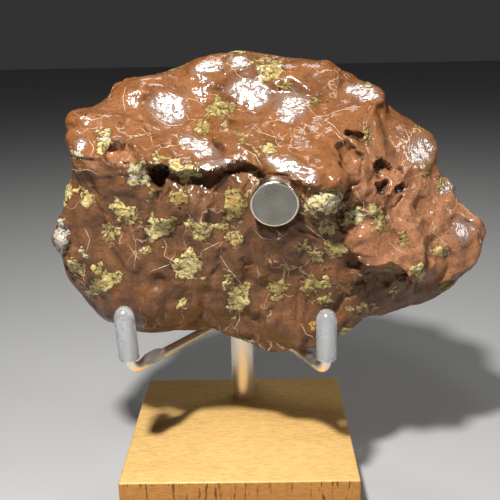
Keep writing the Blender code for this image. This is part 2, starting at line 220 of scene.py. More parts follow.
def facing_camera():
    """How squarely each point of the skin faces the camera: 1 square on, below 0 turned away."""
    return (skin_normals() * unit(EYE - skin_points())).sum(axis=1)


stone = finer_stone()
print(f"stone skin: {len(stone.data.vertices)} points")

# %% [markdown]
# ## Ledges
#
# The stone's strongest line is its brow: the bright upper slope ends in a sharp scalloped edge, and
# the face below is cut back under it. A few more such ledges cross the right side. Each is a line
# of pixels with its low side on the right hand, the rise of its rim, the depth of the cut beside it
# (both in mm) and the pixels that the cut reaches. An edge needs points close together, so the mesh
# is refined along these lines alone; refining all of it would cost millions of faces.

# %% Ledges seen in the photograph
LEDGES = {
    "brow, left end": (((66, 151), (78, 156), (102, 160)), 0.4, 1.6, 14),
    "brow": (
        ((146, 168), (152, 165), (163, 165), (176, 172), (191, 169), (208, 171), (218, 169),
         (232, 164), (243, 161), (254, 165), (268, 176)), 1.2, 4.6, 38,
    ),
    "brow over the magnet": (((276, 177), (300, 180), (312, 184), (323, 190)), 0.8, 0.9, 9),
    "step right of the magnet": (((312, 190), (320, 191), (334, 188), (346, 190)), 0.3, 1.3, 8),
    "block's lower edge": (((306, 214), (318, 219), (330, 217), (342, 205)), 0.6, 1.4, 10),
    "bulge's edge": (((370, 214), (358, 208), (346, 212), (341, 224), (352, 236)), 0.8, 1.4, 8),
    "lobe's ledge": (
        ((352, 252), (358, 260), (366, 266), (380, 266), (389, 262), (398, 265), (407, 273),
         (414, 284)), 1.1, 4.2, 34,
    ),
    "lobe's lower edge": (
        ((410, 284), (427, 281), (441, 283), (456, 279), (469, 272), (481, 259)), 0.8, 3.0, 26,
    ),
    "shoulder's cleft": (((376, 103), (371, 112), (367, 122), (366, 131), (361, 144)), 0.3, 1.6, 8),
    "crease on the left": (((70, 158), (83, 177), (100, 206), (112, 216)), 0.3, 0.7, 7),
    "left knob": (((49, 246), (57, 250), (68, 254), (74, 262)), 0.3, 1.2, 9),
    "low left hollow": (((66, 272), (76, 276), (88, 282)), 0.3, 1.4, 9),
    "lower lobe, left side": (((250, 308), (246, 320), (252, 334), (260, 346)), 0.0, 0.8, 12),
}
END_FADE = 9.0
REFINE_REACH = 5.0


def off_line(where, path):
    """Each pixel's distance from a line, minus above it, and a share that fades to 0 at its ends."""
    path = np.array(path, float)
    distance = np.full(len(where), np.inf)
    along = np.zeros(len(where))
    walked = 0.0
    for start, end in zip(path[:-1], path[1:]):
        run = end - start
        length = np.linalg.norm(run)
        share = np.clip((where - start) @ run / length**2, 0, 1)
        gap = where - start - share[:, None] * run
        away = np.linalg.norm(gap, axis=1)
        below = run[0] * gap[:, 1] > run[1] * gap[:, 0]
        closer = away < np.abs(distance)
        distance = np.where(closer, np.where(below, away, -away), distance)
        along = np.where(closer, walked + share * length, along)
        walked += length
    return distance, np.clip(np.minimum(along, walked - along) / END_FADE, 0, 1)


def refine_along(lines):
    """Halves the edges of the skin that lie along the given lines on the camera's side."""
    where = pixels_of(skin_points())
    near = np.zeros(len(where), bool)
    for line in lines:
        near |= np.abs(off_line(where, line)[0]) < REFINE_REACH
    near &= facing_camera() > 0
    bm = bmesh.new()
    bm.from_mesh(stone.data)
    bm.verts.ensure_lookup_table()
    edges = [edge for edge in bm.edges if near[edge.verts[0].index] and near[edge.verts[1].index]]
    bmesh.ops.subdivide_edges(bm, edges=edges, cuts=1, use_grid_fill=True)
    bm.to_mesh(stone.data)
    bm.free()


refine_along([ledge[0] for ledge in LEDGES.values()])
count = len(stone.data.vertices)
triangles = sum(len(face.vertices) - 2 for face in stone.data.polygons)
print(f"refined along {len(LEDGES)} ledges: {count} points, {triangles} triangles")

# %% [markdown]
# ## What may move, and how far
#
# Marks read off the photograph belong to the skin that the camera sees, and a ray to each point
# tells whether something nearer hides it. Where the magnet sits the skin stays flat, and beside the
# stand it may only be cut back, so that nothing touches. A mark moves its points along the normal
# leaned toward the camera: without the lean, a deep mark on a slanting face slides off its pixels.

# %% Where the skin is seen and where it is held
HIDDEN_BEHIND = 2.5
SQUARE_ENOUGH = 0.15
SEAT_RADII = {"still": 5.5, "free": 7.5, "not raised": 9.5}
STAND_CLEARANCE = 2.5
STAND_KINDS = ("_arm", "_sleeve", "_pad")


def seen_weight():
    """1 where the camera sees the skin squarely, falling to 0 where it turns away or is hidden."""
    toward = skin_points() - EYE
    reach = np.linalg.norm(toward, axis=1)
    weight = np.clip(facing_camera() / SQUARE_ENOUGH, 0, 1)
    surface = surface_of(stone)
    for index in np.flatnonzero(weight):
        hit = surface.ray_cast(EYE_M, Vector(toward[index]))[3]
        if hit is not None and hit < (reach[index] - HIDDEN_BEHIND) * MM:
            weight[index] = 0.0
    return weight


def beside_stand(points):
    """True for points that lie close to an arm, a sleeve or a pad."""
    close = np.zeros(len(points), bool)
    for name in (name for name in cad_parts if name.endswith(STAND_KINDS)):
        surface = surface_of(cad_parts[name])
        low, high = np.array(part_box(name)) / MM
        near = (points > low - STAND_CLEARANCE) & (points < high + STAND_CLEARANCE)
        for index in np.flatnonzero(near.all(axis=1)):
            found = surface.find_nearest(Vector(points[index]) * MM, STAND_CLEARANCE * MM)[0]
            close[index] |= found is not None
    return close


def move_skin(distance, lean=0.0):
    """Moves each point outward by a distance, as far as it is free to, leaning to the camera."""
    points = skin_points()
    outward = unit(skin_normals() + lean * unit(EYE - points))
    allowed = np.where(held_back, np.minimum(distance, 0), distance) * free
    moved = points + outward * allowed[:, None]
    stone.data.vertices.foreach_set("co", (moved * MM).ravel())
    stone.data.update()


seen = seen_weight()
skin = skin_points()
broad_up = skin_normals()[:, 2]
from_magnet = np.linalg.norm(skin - np.mean(np.array(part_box("magnet")) / MM, axis=0), axis=1)
seat_width = SEAT_RADII["free"] - SEAT_RADII["still"]
free = np.clip((from_magnet - SEAT_RADII["still"]) / seat_width, 0, 1)
held_back = beside_stand(skin) | (from_magnet < SEAT_RADII["not raised"])
print(f"the camera sees {100 * (seen > 0).mean():.0f}% of the skin; {held_back.sum()} points are held")

# %% [markdown]
# ## Weathering of the whole skin
#
# Hot air scooped the stone into shallow bowls as it fell, like thumbprints in clay, with crisp rims
# where two bowls meet. The distance to the nearest of many scattered points gives just that: it is
# 0 in each bowl's middle and grows to a sharp crest halfway to the next. Faces turned away from
# the sky have upright furrows instead. The same relief covers every side, so the back is as
# finished as the front; it is weaker along the outline that the photograph fixes.

# %% Bowls, flutes and grain
SWELL = {"size": 15.0, "height": 0.9}
BOWL = {"size": 13.0, "height": 5.5, "bend": 0.3}
SMALL_BOWL = {"size": 5.5, "height": 0.7, "bend": 0.4}
BOWL_CREST = 0.8
BOWL_LEVEL = 0.25
FLUTE = {"size": 6.5, "height": 1.6, "stretch": 3.2}
FLUTE_BEND = 0.5
FLUTE_LEVEL = 0.3
DENT = {"size": 2.2, "height": 0.12}
ROUGH_PATCH = {"size": 22.0, "middle": 0.55, "swing": 1.1, "on lobe": 0.5}
ROUGH_LIMITS = (0.3, 1.1)
OVERHANG = {"from": 0.30, "ease": 0.4, "bowls lost": 0.6}
OUTLINE_BAND = 0.4
OUTLINE_SHARE = 0.2
LOBE_START = (325, 110)
LOBE_EASE = (40, 60)
NOISE_FALL = 0.8
NOISE_STEP = 2.1


def layered(points, size, octaves):
    """Fractal noise about zero for each point, with features of about the given size."""
    return np.array(
        [noise.fractal(Vector(point / size), NOISE_FALL, NOISE_STEP, octaves) for point in points]
    )


def cell_distance(points):
    """How far each point is from the nearest of many scattered points, about 1 apart."""
    return np.array([noise.voronoi(Vector(point))[0][0] for point in points])


def bowls(points, size, height, bend):
    """Shallow bowls side by side with crisp rims between them, about zero."""
    stray = [layered(np.roll(points, turn, axis=1), size, 2) for turn in range(3)]
    nearest = cell_distance(points / size + np.stack(stray, axis=1) * bend)
    return height * (np.minimum(nearest, BOWL_CREST) ** 2 - BOWL_LEVEL)


def flutes(points, size, height, stretch):
    """Upright furrows with crisp crests, about zero."""
    stray = layered(points, size * 2, 2)[:, None] * FLUTE_BEND
    bent = points / (size, size, size * stretch) + stray
    return height * (FLUTE_LEVEL - np.abs([noise.noise(Vector(point)) * 2 for point in bent]))


overhang = np.clip((OVERHANG["from"] - broad_up) / OVERHANG["ease"], 0, 1)
on_lobe = np.clip((pixels_of(skin) - LOBE_START) / LOBE_EASE, 0, 1).prod(axis=1)
rough = ROUGH_PATCH["middle"] + ROUGH_PATCH["swing"] * layered(skin, ROUGH_PATCH["size"], 2)
rough = np.clip(rough + ROUGH_PATCH["on lobe"] * on_lobe, *ROUGH_LIMITS)
relief = SWELL["height"] * layered(skin, SWELL["size"], 3)
relief += bowls(skin, **BOWL) * rough * (1 - OVERHANG["bowls lost"] * overhang)
relief += bowls(skin, **SMALL_BOWL) * rough**2
relief += flutes(skin, **FLUTE) * overhang
relief += DENT["height"] * layered(skin, DENT["size"], 2) * rough**2
move_skin(relief * np.clip(np.abs(facing_camera()) / OUTLINE_BAND, OUTLINE_SHARE, 1))
skin = skin_points()
print(f"skin spans {(skin.max(axis=0) - skin.min(axis=0)).round(1)} mm")

# %% [markdown]
# ## Pits, lumps and clefts seen in the photograph
#
# Each large mark of the front is pressed or raised where it shows. Working in the photograph's own
# pixels keeps its place and outline right from the camera, and nothing shows through to the back.
# Each is x, y, width and height in pixels, tilt in degrees, and depth or height in mm.

# %% Named marks
PITS = {
    "oval pit under the brow": (121, 156, 40, 27, 8, 4.0),
    "slot on the upper slope": (221, 89, 27, 7, 4, 1.1),
    "bright bowl, left": (163, 107, 40, 28, 25, 1.5),
    "bowl over the brow": (199, 143, 52, 24, 18, 1.6),
    "bowl in the middle": (239, 139, 28, 14, -16, 0.7),
    "bowl near the crown": (258, 92, 46, 26, 10, 1.3),
    "grey facet": (256, 108, 34, 13, 18, 0.8),
    "bowl left of the crown": (214, 74, 20, 12, 0, 0.7),
    "bowl right of the crown": (318, 112, 26, 18, 0, 0.6),
    "thumbprint": (351, 159, 24, 36, -28, 2.8),
    "pit on the lobe, upper": (381, 168, 17, 12, 0, 3.0),
    "pit on the lobe, lower": (383, 188, 14, 18, 20, 3.0),
    "small pit on the lobe, upper": (401, 169, 10, 10, 0, 1.9),
    "small pit on the lobe, lower": (401, 190, 11, 11, 0, 1.9),
    "notch in the cleft": (354, 134, 22, 11, 20, 3.0),
    "dish on the lobe": (420, 208, 22, 26, 20, 0.9),
    "dish near the tip": (460, 230, 24, 26, 0, 0.9),
    "pit by the magnet's foot": (247, 263, 11, 9, 0, 0.8),
    "pit at the left edge": (78, 165, 14, 12, 0, 0.9),
    "pit low left": (112, 180, 10, 18, 30, 0.5),
    "wedge under the brow": (157, 178, 14, 24, 28, 2.6),
    "hollow beside the ledge": (352, 262, 16, 20, 10, 1.0),
    "low pit": (258, 318, 12, 9, 0, 0.9),
    "low pit, left": (186, 300, 12, 26, 10, 0.7),
    "scoop low right": (330, 315, 22, 26, 0, 1.0),
}
LUMPS = {
    "corner knob": (72, 116, 22, 20, 0, 0.9),
    "peak": (126, 84, 12, 22, 0, 1.0),
    "knob by the thumbprint": (333, 180, 26, 26, 0, 1.7),
    "bulge on the lobe": (357, 226, 30, 32, 0, 1.4),
    "lump at the upper edge": (360, 91, 24, 14, 20, 0.9),
    "lump on the right edge": (420, 150, 20, 28, 10, 1.0),
    "lump lower on the edge": (446, 192, 20, 18, 0, 0.7),
    "tip": (474, 226, 18, 20, 0, 0.8),
    "knob at the left edge": (62, 236, 18, 24, 0, 1.6),
    "ridge between the bowls": (222, 122, 60, 10, -8, 0.7),
    "block right of the magnet": (323, 204, 36, 24, -8, 1.2),
    "shoulder over the brow": (100, 128, 44, 14, 10, 0.4),
    "bump on the crown": (326, 62, 16, 8, 0, 0.8),
    "bump near the crown": (150, 80, 20, 10, 0, 0.5),
    "lower lobe": (284, 318, 44, 36, 0, 0.9),
    "bottom left swell": (146, 306, 40, 30, 0, 0.3),
    "pebble in the ledge": (418, 272, 14, 18, 0, 1.0),
}
CLEFTS = {
    "crack on the lobe": (((380, 176), (388, 196), (396, 206), (408, 190)), 4, 0.9),
    "channel beside the knob": (((352, 184), (346, 198), (341, 212), (338, 224)), 10, 1.8),
    "fold at the lobe's root": (((376, 200), (384, 214), (392, 228), (404, 240)), 5, 0.7),
    "fold above the ledge": (((396, 236), (414, 250), (436, 262)), 6, 0.7),
    "crease below the brow": (((160, 184), (157, 200), (150, 224), (146, 244)), 9, 1.0),
    "flute": (((196, 180), (190, 200), (180, 226)), 10, 0.9),
    "flute by the brow": (((176, 180), (170, 196), (168, 212)), 7, 0.7),
    "low flute": (((222, 250), (210, 286), (196, 322)), 10, 0.8),
    "low flute, right": (((306, 280), (300, 300), (296, 326)), 9, 0.8),
    "low flute, far right": (((352, 278), (340, 300), (336, 326)), 9, 0.7),
    "crease on the upper slope": (((128, 112), (142, 122), (150, 136), (172, 150)), 6, 0.6),
    "crease by the magnet": (((296, 222), (306, 232), (320, 240)), 5, 0.9),
}


def oval(where, x, y, width, height, tilt):
    """0 at the oval's middle, 1 on its edge and more beyond, for each of the skin's pixels."""
    turn = math.radians(tilt)
    across, down = where[:, 0] - x, where[:, 1] - y
    along = across * math.cos(turn) + down * math.sin(turn)
    aside = down * math.cos(turn) - across * math.sin(turn)
    return np.hypot(along / (width / 2), aside / (height / 2))


# %% [markdown]
# ## Pressing the marks in
#
# A pit has a flat floor, a steep wall and a low raised rim; a lump is a soft swelling; a cleft is a
# V-shaped groove. The deep ones get painted shade, a dark colour in the hollow, so the same loops
# keep a value that tells the finish where it is. A texture of pits would be quicker, but flat along
# the outline.

# %% Pressing the marks
MARK_WANDER = {"size": 5.0, "marks": 4.5, "ledges": 1.2, "facets": 2.0}
PIT_RIM = {"share": 0.16, "at": 1.12, "width": 0.14}
LUMP_SPREAD = 0.8
LEDGE_RIM_WIDTH = 4.0
LEDGE_DROP_WIDTH = 1.3
TOWARD_CAMERA = 1.5
SHADE_FROM_DEPTH = 1.65
SHADE_RING = {"at": 0.95, "width": 0.16, "share": 0.7}
SHADE_FULL = {"narrower than": 26, "share": 0.85}
SHADE_IN_CLEFT = {"narrower than": 7, "share": 0.75, "reach": 1.4}
SHADE_UNDER_LEDGE = {"at": 2.2, "width": 1.8, "share": 0.62, "full depth": 3}


def bell(value, middle, width):
    """1 where the value is at the middle, falling away smoothly on both sides."""
    return np.exp(-(((value - middle) / width) ** 2))


def strays(points, size):
    """Two noises for each point, to push its pixel about with."""
    return np.stack((layered(points, size, 3), layered(points[:, ::-1], size, 3)), axis=1)


wander = strays(skin, MARK_WANDER["size"])
where = pixels_of(skin) + wander * MARK_WANDER["marks"]
press = np.zeros(count)
crust = np.zeros(count)
for x, y, width, height, tilt, depth in PITS.values():
    away = oval(where, x, y, width, height, tilt)
    press -= depth * np.clip(1 - away ** (2 + depth), 0, None)
    press += depth * PIT_RIM["share"] * bell(away, PIT_RIM["at"], PIT_RIM["width"])
    # Painted shade in the deep pits: a dark ring at the rim, or the whole of a narrow pit.
    if depth > SHADE_FROM_DEPTH:
        dark = bell(away, SHADE_RING["at"], SHADE_RING["width"]) * SHADE_RING["share"]
        if max(width, height) < SHADE_FULL["narrower than"]:
            dark = np.clip(2 - 2 * away, 0, SHADE_FULL["share"])
        crust = np.maximum(crust, dark * seen)
for x, y, width, height, tilt, rise in LUMPS.values():
    away = oval(where, x, y, width, height, tilt)
    press += rise * np.exp(-((away / LUMP_SPREAD) ** 3))
for path, width, depth in CLEFTS.values():
    away, taper = off_line(where, path)
    away = np.abs(away) / (width / 2)
    press -= depth * np.clip(1 - away, 0, None)
    # Painted shade along the narrow clefts.
    if width < SHADE_IN_CLEFT["narrower than"]:
        dark = np.clip(1 - away * SHADE_IN_CLEFT["reach"], 0, 1) * taper
        crust = np.maximum(crust, SHADE_IN_CLEFT["share"] * dark * seen)
move_skin(press * seen, TOWARD_CAMERA)
print(f"{len(PITS)} pits, {len(LUMPS)} lumps and {len(CLEFTS)} clefts on the front")

# %% [markdown]
# ## Cutting the ledges
#
# At each ledge's line the skin rises to a rim, drops within a millimetre or two, and eases back at
# the end of its reach. Both fade towards the line's ends, so that no ledge stops with a step.

# %% Cutting the ledges
where = pixels_of(skin_points()) + wander * MARK_WANDER["ledges"]
step = np.zeros(count)
for path, rise, depth, reach in LEDGES.values():
    below, taper = off_line(where, path)
    rim = rise * bell(below, 0, np.where(below < 0, LEDGE_RIM_WIDTH, LEDGE_DROP_WIDTH))
    drop = np.clip(below, 0, reach)
    cut = depth * (1 - np.exp(-drop / LEDGE_DROP_WIDTH)) * (1 - drop / reach) ** 1.5
    step += (rim - cut) * taper
    # Painted shade: a dark band just below each ledge's line, where its shadow falls.
    dark = bell(below, SHADE_UNDER_LEDGE["at"], SHADE_UNDER_LEDGE["width"]) * taper
    dark *= min(depth / SHADE_UNDER_LEDGE["full depth"], 1)
    crust = np.maximum(crust, SHADE_UNDER_LEDGE["share"] * dark * seen)
move_skin(step * seen, TOWARD_CAMERA)
print(f"{len(LEDGES)} ledges cut; crust on {100 * (crust > 0.3).mean():.1f}% of the skin")

# %% [markdown]
# ## Facets that catch the light
#
# The varnish shines in broad patches where a worn facet mirrors a lamp to the camera. That is a
# matter of a few degrees, so each facet is pressed flat at the angle halfway between the camera and
# the best fitting lamp. White paint would be simpler, but it would stay put when the view changes.
# Each facet is x, y, width and height in pixels and tilt in degrees.

# %% Glossy facets
FACETS = (
    (167, 108, 40, 32, 30), (250, 92, 50, 30, 20), (291, 104, 38, 34, 50), (199, 147, 46, 18, 22),
    (218, 164, 50, 10, -8), (290, 168, 56, 18, 22), (208, 68, 34, 12, -10), (240, 62, 24, 12, 0),
    (362, 92, 38, 16, 15), (420, 151, 28, 32, 40), (446, 188, 14, 20, 30), (462, 230, 24, 26, 10),
    (81, 145, 14, 16, 0), (262, 66, 18, 10, 0), (306, 175, 20, 16, 20), (62, 238, 14, 18, 0),
)
FACET_PASSES = 2
FACET_EDGE = 1.5
FACET_SHARE = 0.85
FACET_LIMIT = 1.6
FACET_GRAZING = 0.6
VARNISH_CORE = 1.9
VARNISH_FALL = 1.2
VARNISH_ELSEWHERE = 0.5


def facet_step(points, normals, away):
    """How far each point moves to bring an oval of the skin to the angle that mirrors a lamp."""
    weight = np.clip(FACET_EDGE - away, 0, 1) * seen
    weight = weight**2 * (3 - 2 * weight)
    core = weight > 0.5
    middle = points[core].mean(axis=0)
    average = normals[core].mean(axis=0)
    to_camera = Vector(EYE - middle).normalized()
    to_lamps = [Vector(np.array(lamp["place"]) - middle).normalized() for lamp in LAMPS.values()]
    mirrors = [np.array((to_camera + to_lamp).normalized()) for to_lamp in to_lamps]
    facing = max(mirrors, key=lambda mirror: mirror @ average)
    gap = (middle - points) @ facing / np.clip(normals @ facing, FACET_GRAZING, None)
    error = math.degrees(math.acos(min(float(facing @ average), 1)))
    return np.clip(gap, -FACET_LIMIT, FACET_LIMIT) * weight * FACET_SHARE, round(error)


def facet_distances(points):
    """For each facet, how far off each point is: 1 on the facet's edge."""
    where = pixels_of(points) + wander * MARK_WANDER["facets"]
    return [oval(where, *facet) for facet in FACETS]


for _ in range(FACET_PASSES):
    skin = skin_points()
    normals = skin_normals()
    steps = [facet_step(skin, normals, away) for away in facet_distances(skin)]
    move_skin(sum(step for step, _ in steps))
    print("degrees off the mirror angle:", [error for _, error in steps])
skin = skin_points()
varnish = VARNISH_CORE - VARNISH_FALL * np.min(facet_distances(skin), axis=0)
varnish = np.where(seen > 0, np.clip(varnish, 0, 1), VARNISH_ELSEWHERE)

# %% [markdown]
# ## Pale inclusions
#
# Islands of olive and yellow grains lie in the stone, where crystals or pebbles were caught in it.
# They could be separate lumps set into the skin, but the real ones are ground flush with it. So the
# skin keeps a soft value that is 1 in the middle of each island and falls away round it; the
# finish cuts it off along a ragged line, and the grains' relief is pressed into the skin itself.
# Each island is x, y, width and height in pixels, tilt in degrees and its tone: 0 is cream, 1 is
# dark olive, past 1 it turns orange and below 0 it turns grey.

# %% Islands on the front
ISLANDS = {
    "left shoulder": (
        (105, 140, 14, 21, 20, 0.0), (65, 190, 10, 16, 0, 0.2), (63, 205, 8, 10, 0, 0.3),
        (61, 238, 15, 30, 0, -0.7), (77, 154, 10, 8, 20, -0.4), (84, 252, 10, 8, 20, -0.4),
    ),
    "under the brow": (
        (137, 174, 24, 22, -30, -0.15), (176, 166, 16, 16, 20, 0.1), (188, 175, 18, 22, 20, 0.0),
        (160, 158, 12, 8, 0, 0.2), (178, 197, 18, 14, -15, 0.75), (151, 194, 9, 9, 0, 0.9),
    ),
    "left of the middle": (
        (124, 212, 28, 13, 35, 0.25), (86, 200, 12, 12, 0, 0.2), (110, 232, 15, 18, 0, 0.35),
        (77, 190, 10, 8, 0, 0.3), (160, 228, 27, 22, -10, 0.1), (189, 224, 9, 10, 0, 0.1),
        (203, 231, 20, 19, 0, 0.4), (222, 226, 12, 9, 0, 0.35), (235, 238, 17, 13, 20, 0.5),
        (234, 205, 24, 32, 0, 0.85), (146, 250, 12, 7, -10, 0.5), (194, 254, 14, 13, 0, 0.3),
        (187, 266, 24, 22, 0, 0.1),
    ),
    "low left": (
        (75, 266, 15, 11, 10, 0.05), (98, 269, 12, 10, 40, 0.4), (116, 276, 12, 11, 0, 0.4),
        (103, 285, 32, 13, -25, 0.35), (90, 292, 10, 8, 0, 0.2), (182, 306, 6, 12, 5, 0.3),
    ),
    "upper slope": (
        (219, 109, 29, 20, -15, 0.7), (201, 128, 11, 16, 10, 0.8), (268, 66, 34, 15, 15, 0.55),
        (266, 78, 16, 8, 0, 0.5), (268, 148, 17, 13, -20, 0.15), (315, 101, 13, 10, 0, 1.0),
        (243, 137, 9, 9, 0, 0.7), (285, 88, 12, 9, 0, 0.8),
    ),
    "right of the magnet": (
        (323, 204, 40, 22, -6, -0.15), (328, 227, 21, 15, 10, 0.45), (305, 245, 11, 12, 0, 0.75),
        (317, 257, 13, 14, 0, 0.6), (335, 250, 21, 15, 20, 0.6), (353, 214, 24, 22, -30, 0.0),
        (378, 217, 15, 26, -20, 0.5), (404, 238, 11, 10, 0, 0.8), (390, 268, 12, 9, 0, 0.8),
        (367, 137, 9, 16, 0, 0.85), (418, 272, 12, 16, 0, 0.1),
    ),
    "right edge": (
        (427, 171, 12, 8, -20, 0.9), (442, 184, 8, 10, -30, 0.7), (440, 250, 16, 14, 0, 0.3),
        (420, 128, 10, 6, 30, 0.3),
    ),
    "lower front": (
        (238, 298, 20, 26, 5, 0.1), (228, 284, 8, 12, 40, 0.1), (243, 287, 8, 8, 0, 0.6),
        (276, 290, 17, 17, 20, 0.75), (312, 286, 20, 17, 0, 0.7), (326, 282, 13, 7, -20, 0.5),
        (345, 288, 13, 9, 0, 1.3), (325, 301, 20, 8, 0, 0.6), (312, 328, 9, 12, 0, 1.2),
        (349, 309, 9, 9, 0, 0.6), (362, 308, 12, 8, 0, 0.6), (374, 306, 9, 8, 0, 0.7),
        (393, 291, 9, 5, 0, 0.3),
    ),
}
front_islands = [island for group in ISLANDS.values() for island in group]
print(f"{len(front_islands)} islands on the front")

# %% Islands on the sides the photograph doesn't show
HIDDEN_ISLANDS = 60
HIDDEN_RADII = (1.6, 5.0)
HIDDEN_STRETCH = (0.6, 1.5)
HIDDEN_TONES = (0.0, 1.1)
PLAIN_TONE = 0.4
ISLAND_FRAY = {"size": 2.6, "pixels": 6.5, "share": 0.28}
ISLAND_FALL = 0.5
ISLAND_EDGE = {"from": 0.42, "ease": 0.12}
ISLAND_GROOVE = {"depth": 0.25, "at": 0.40, "width": 0.05}
CRUMBS = {"size": (2.6, 2.6, 1.7), "top": 0.32, "depth": 0.5}
OUT_OF_REACH = 9.0
chance = np.random.default_rng(7)


def scatter_unseen(number):
    """Random points of the skin that the camera doesn't see."""
    weights = np.where(seen > 0, 0.0, 1.0)
    return chance.choice(count, size=number, replace=False, p=weights / weights.sum())


def add_island(away, its_tone):
    """Lays one island into the skin's values; away is 1 on its edge."""
    value = np.clip(1 - ISLAND_FALL * away, 0, 1)
    stronger = value > island
    tone[stronger] = its_tone
    island[stronger] = value[stronger]


island = np.zeros(count)
tone = np.full(count, PLAIN_TONE)
frayed = strays(skin, ISLAND_FRAY["size"])
where = pixels_of(skin) + frayed * ISLAND_FRAY["pixels"]
for *place, its_tone in front_islands:
    add_island(np.where(seen > 0, oval(where, *place), OUT_OF_REACH), its_tone)
for middle in scatter_unseen(HIDDEN_ISLANDS):
    radius = chance.uniform(*HIDDEN_RADII)
    stretch = chance.uniform(*HIDDEN_STRETCH, 3)
    away = np.linalg.norm((skin - skin[middle]) / stretch, axis=1) / radius
    add_island(away, chance.uniform(*HIDDEN_TONES))

ragged = island + ISLAND_FRAY["share"] * frayed[:, 0]
inside = np.clip((ragged - ISLAND_EDGE["from"]) / ISLAND_EDGE["ease"], 0, 1)
grains = CRUMBS["top"] - CRUMBS["depth"] * cell_distance(skin / CRUMBS["size"])
groove = ISLAND_GROOVE["depth"] * bell(ragged, ISLAND_GROOVE["at"], ISLAND_GROOVE["width"])
move_skin(inside * grains - groove)
skin = skin_points()
print(f"{HIDDEN_ISLANDS} more on the hidden sides; islands cover {100 * inside.mean():.0f}% of the skin")

# %% [markdown]
# ## Values that the finish reads
#
# The stone is painted darker below the brow and on faces turned down, as painted shade, and painted
# lighter on the right lobe, as painted light; it is also pale where it is freshly broken. On the
# front these places, and those of the painted shade in hollows, the varnish with its painted sheen,
# and the islands, are the photograph's, so no pattern in space gives them: each is a value on the
# skin's points, and the finish frays its edge with fine noise.

# %% Values on the skin
# Below this line the front is painted darker, as painted shade under the brow.
SHADE_BORDER = (
    (50, 150), (78, 156), (102, 160), (146, 169), (176, 173), (208, 172), (243, 163), (268, 177),
    (312, 187), (330, 204), (338, 232), (352, 253), (380, 267), (398, 266), (414, 284), (440, 284),
    (481, 262), (500, 240),
)
BORDER_DRIFT = {"size": 14.0, "pixels": 5}
BORDER_EASE = 6
UNSEEN_SHADE = {"from": 0.42, "drift": 0.12, "ease": 0.30}
FRESH_FLOOR = {"core": 4, "fall": 4.5, "share": 0.9}


def store(mesh, name, values):
    """Keeps a value of each point on the mesh, for a finish to read."""
    attribute = mesh.attributes.new(name, "FLOAT", "POINT")
    attribute.data.foreach_set("value", np.asarray(values, np.float32))


where = pixels_of(skin)
drift = layered(skin, BORDER_DRIFT["size"], 3)
# Painted shade: on the front, darker below the brow's line; on the hidden sides, darker where the face
# turns down.
below = off_line(where, SHADE_BORDER)[0] + BORDER_DRIFT["pixels"] * drift
from_photo = np.clip(0.5 + below / BORDER_EASE, 0, 1)
unseen = (UNSEEN_SHADE["from"] - broad_up - UNSEEN_SHADE["drift"] * drift) / UNSEEN_SHADE["ease"]
sheltered = seen * from_photo + (1 - seen) * np.clip(unseen, 0, 1)
in_pit = oval(where, *PITS["oval pit under the brow"][:5])
fresh = np.clip(FRESH_FLOOR["core"] - FRESH_FLOOR["fall"] * in_pit, 0, FRESH_FLOOR["share"])
# Painted light on the right lobe above the shade line, and the pale floor of the freshly broken pit.
paler = np.maximum(on_lobe * (1 - from_photo), fresh) * seen
skin_values = {
    "island": island, "tone": tone, "sheltered": sheltered, "paler": paler, "crust": crust,
    "varnish": varnish,
}
for name, values in skin_values.items():
    store(stone.data, name, values)
print("values on the skin:", ", ".join(skin_values))

# %% [markdown]
# ## Tools for finishes
#
# A finish is a network of nodes that ends in one surface shader. One helper adds a node and wires
# its inputs, one turns a value into colours, and the rest are patterns and sums. Patterns read
# Object coordinates, which are real metres, so a scale of 1000 makes features of about a
# millimetre, and the height of a bump is in metres too.


# %% Node helpers
def socket_name(word):
    return word.replace("_", " ").title().replace("Ior", "IOR")


def opaque(colour):
    """A colour of three numbers with its alpha; anything else is left as it is."""
    return (*colour, 1.0) if isinstance(colour, tuple) else colour


def finish(name, **values):
    """A new material, its node tree and its surface shader with the given values set."""
    material = bpy.data.materials.new(name)
    material.use_nodes = True
    shader = material.node_tree.nodes["Principled BSDF"]
    for word, value in values.items():
        shader.inputs[socket_name(word)].default_value = opaque(value)
    return material, material.node_tree, shader


def link(shader, **sources):
    """Links nodes' outputs to the surface shader's inputs."""
    for word, source in sources.items():
        shader.id_data.links.new(source, shader.inputs[socket_name(word)])


def feed(tree, socket, value):
    """Links a node's output to a socket, or else sets the socket's own value."""
    if isinstance(value, bpy.types.NodeSocket):
        tree.links.new(value, socket)
    elif value is not None:
        socket.default_value = value


def add(tree, kind, *values, output=0, **words):
    """Adds a node and gives its output.

    Values go to its first inputs, words with a capital to inputs of that name, the rest are settings.
    """
    made = tree.nodes.new(kind)
    for word in [word for word in words if word.islower()]:
        setattr(made, word, words.pop(word))
    for name, value in [*enumerate(values), *words.items()]:
        feed(tree, made.inputs[name if isinstance(name, int) else name.replace("_", " ")], value)
    return made.outputs[output]


def coordinates(tree):
    return add(tree, "ShaderNodeTexCoord", output="Object")


def stretched(tree, place, scale, rotation=(0, 0, 0)):
    """Coordinates in which patterns come out longer along one or more axes."""
    return add(tree, "ShaderNodeMapping", place, Scale=scale, Rotation=rotation)


def cloudy(tree, place, scale, detail=4.0, rough=0.55):
    """Soft noise from 0 to 1 with about scale features a metre."""
    return add(tree, "ShaderNodeTexNoise", place, Scale=scale, Detail=detail, Roughness=rough)


def ramp(tree, value, *stops):
    """Colours along a value: each stop is a place from 0 to 1 and a colour or a grey."""
    output = add(tree, "ShaderNodeValToRGB", value)
    elements = output.node.color_ramp.elements
    while len(elements) < len(stops):
        elements.new(0.5)
    for element, (place, colour) in zip(elements, stops):
        element.position = place
        element.color = opaque(colour if isinstance(colour, tuple) else (colour,) * 3)
    return output


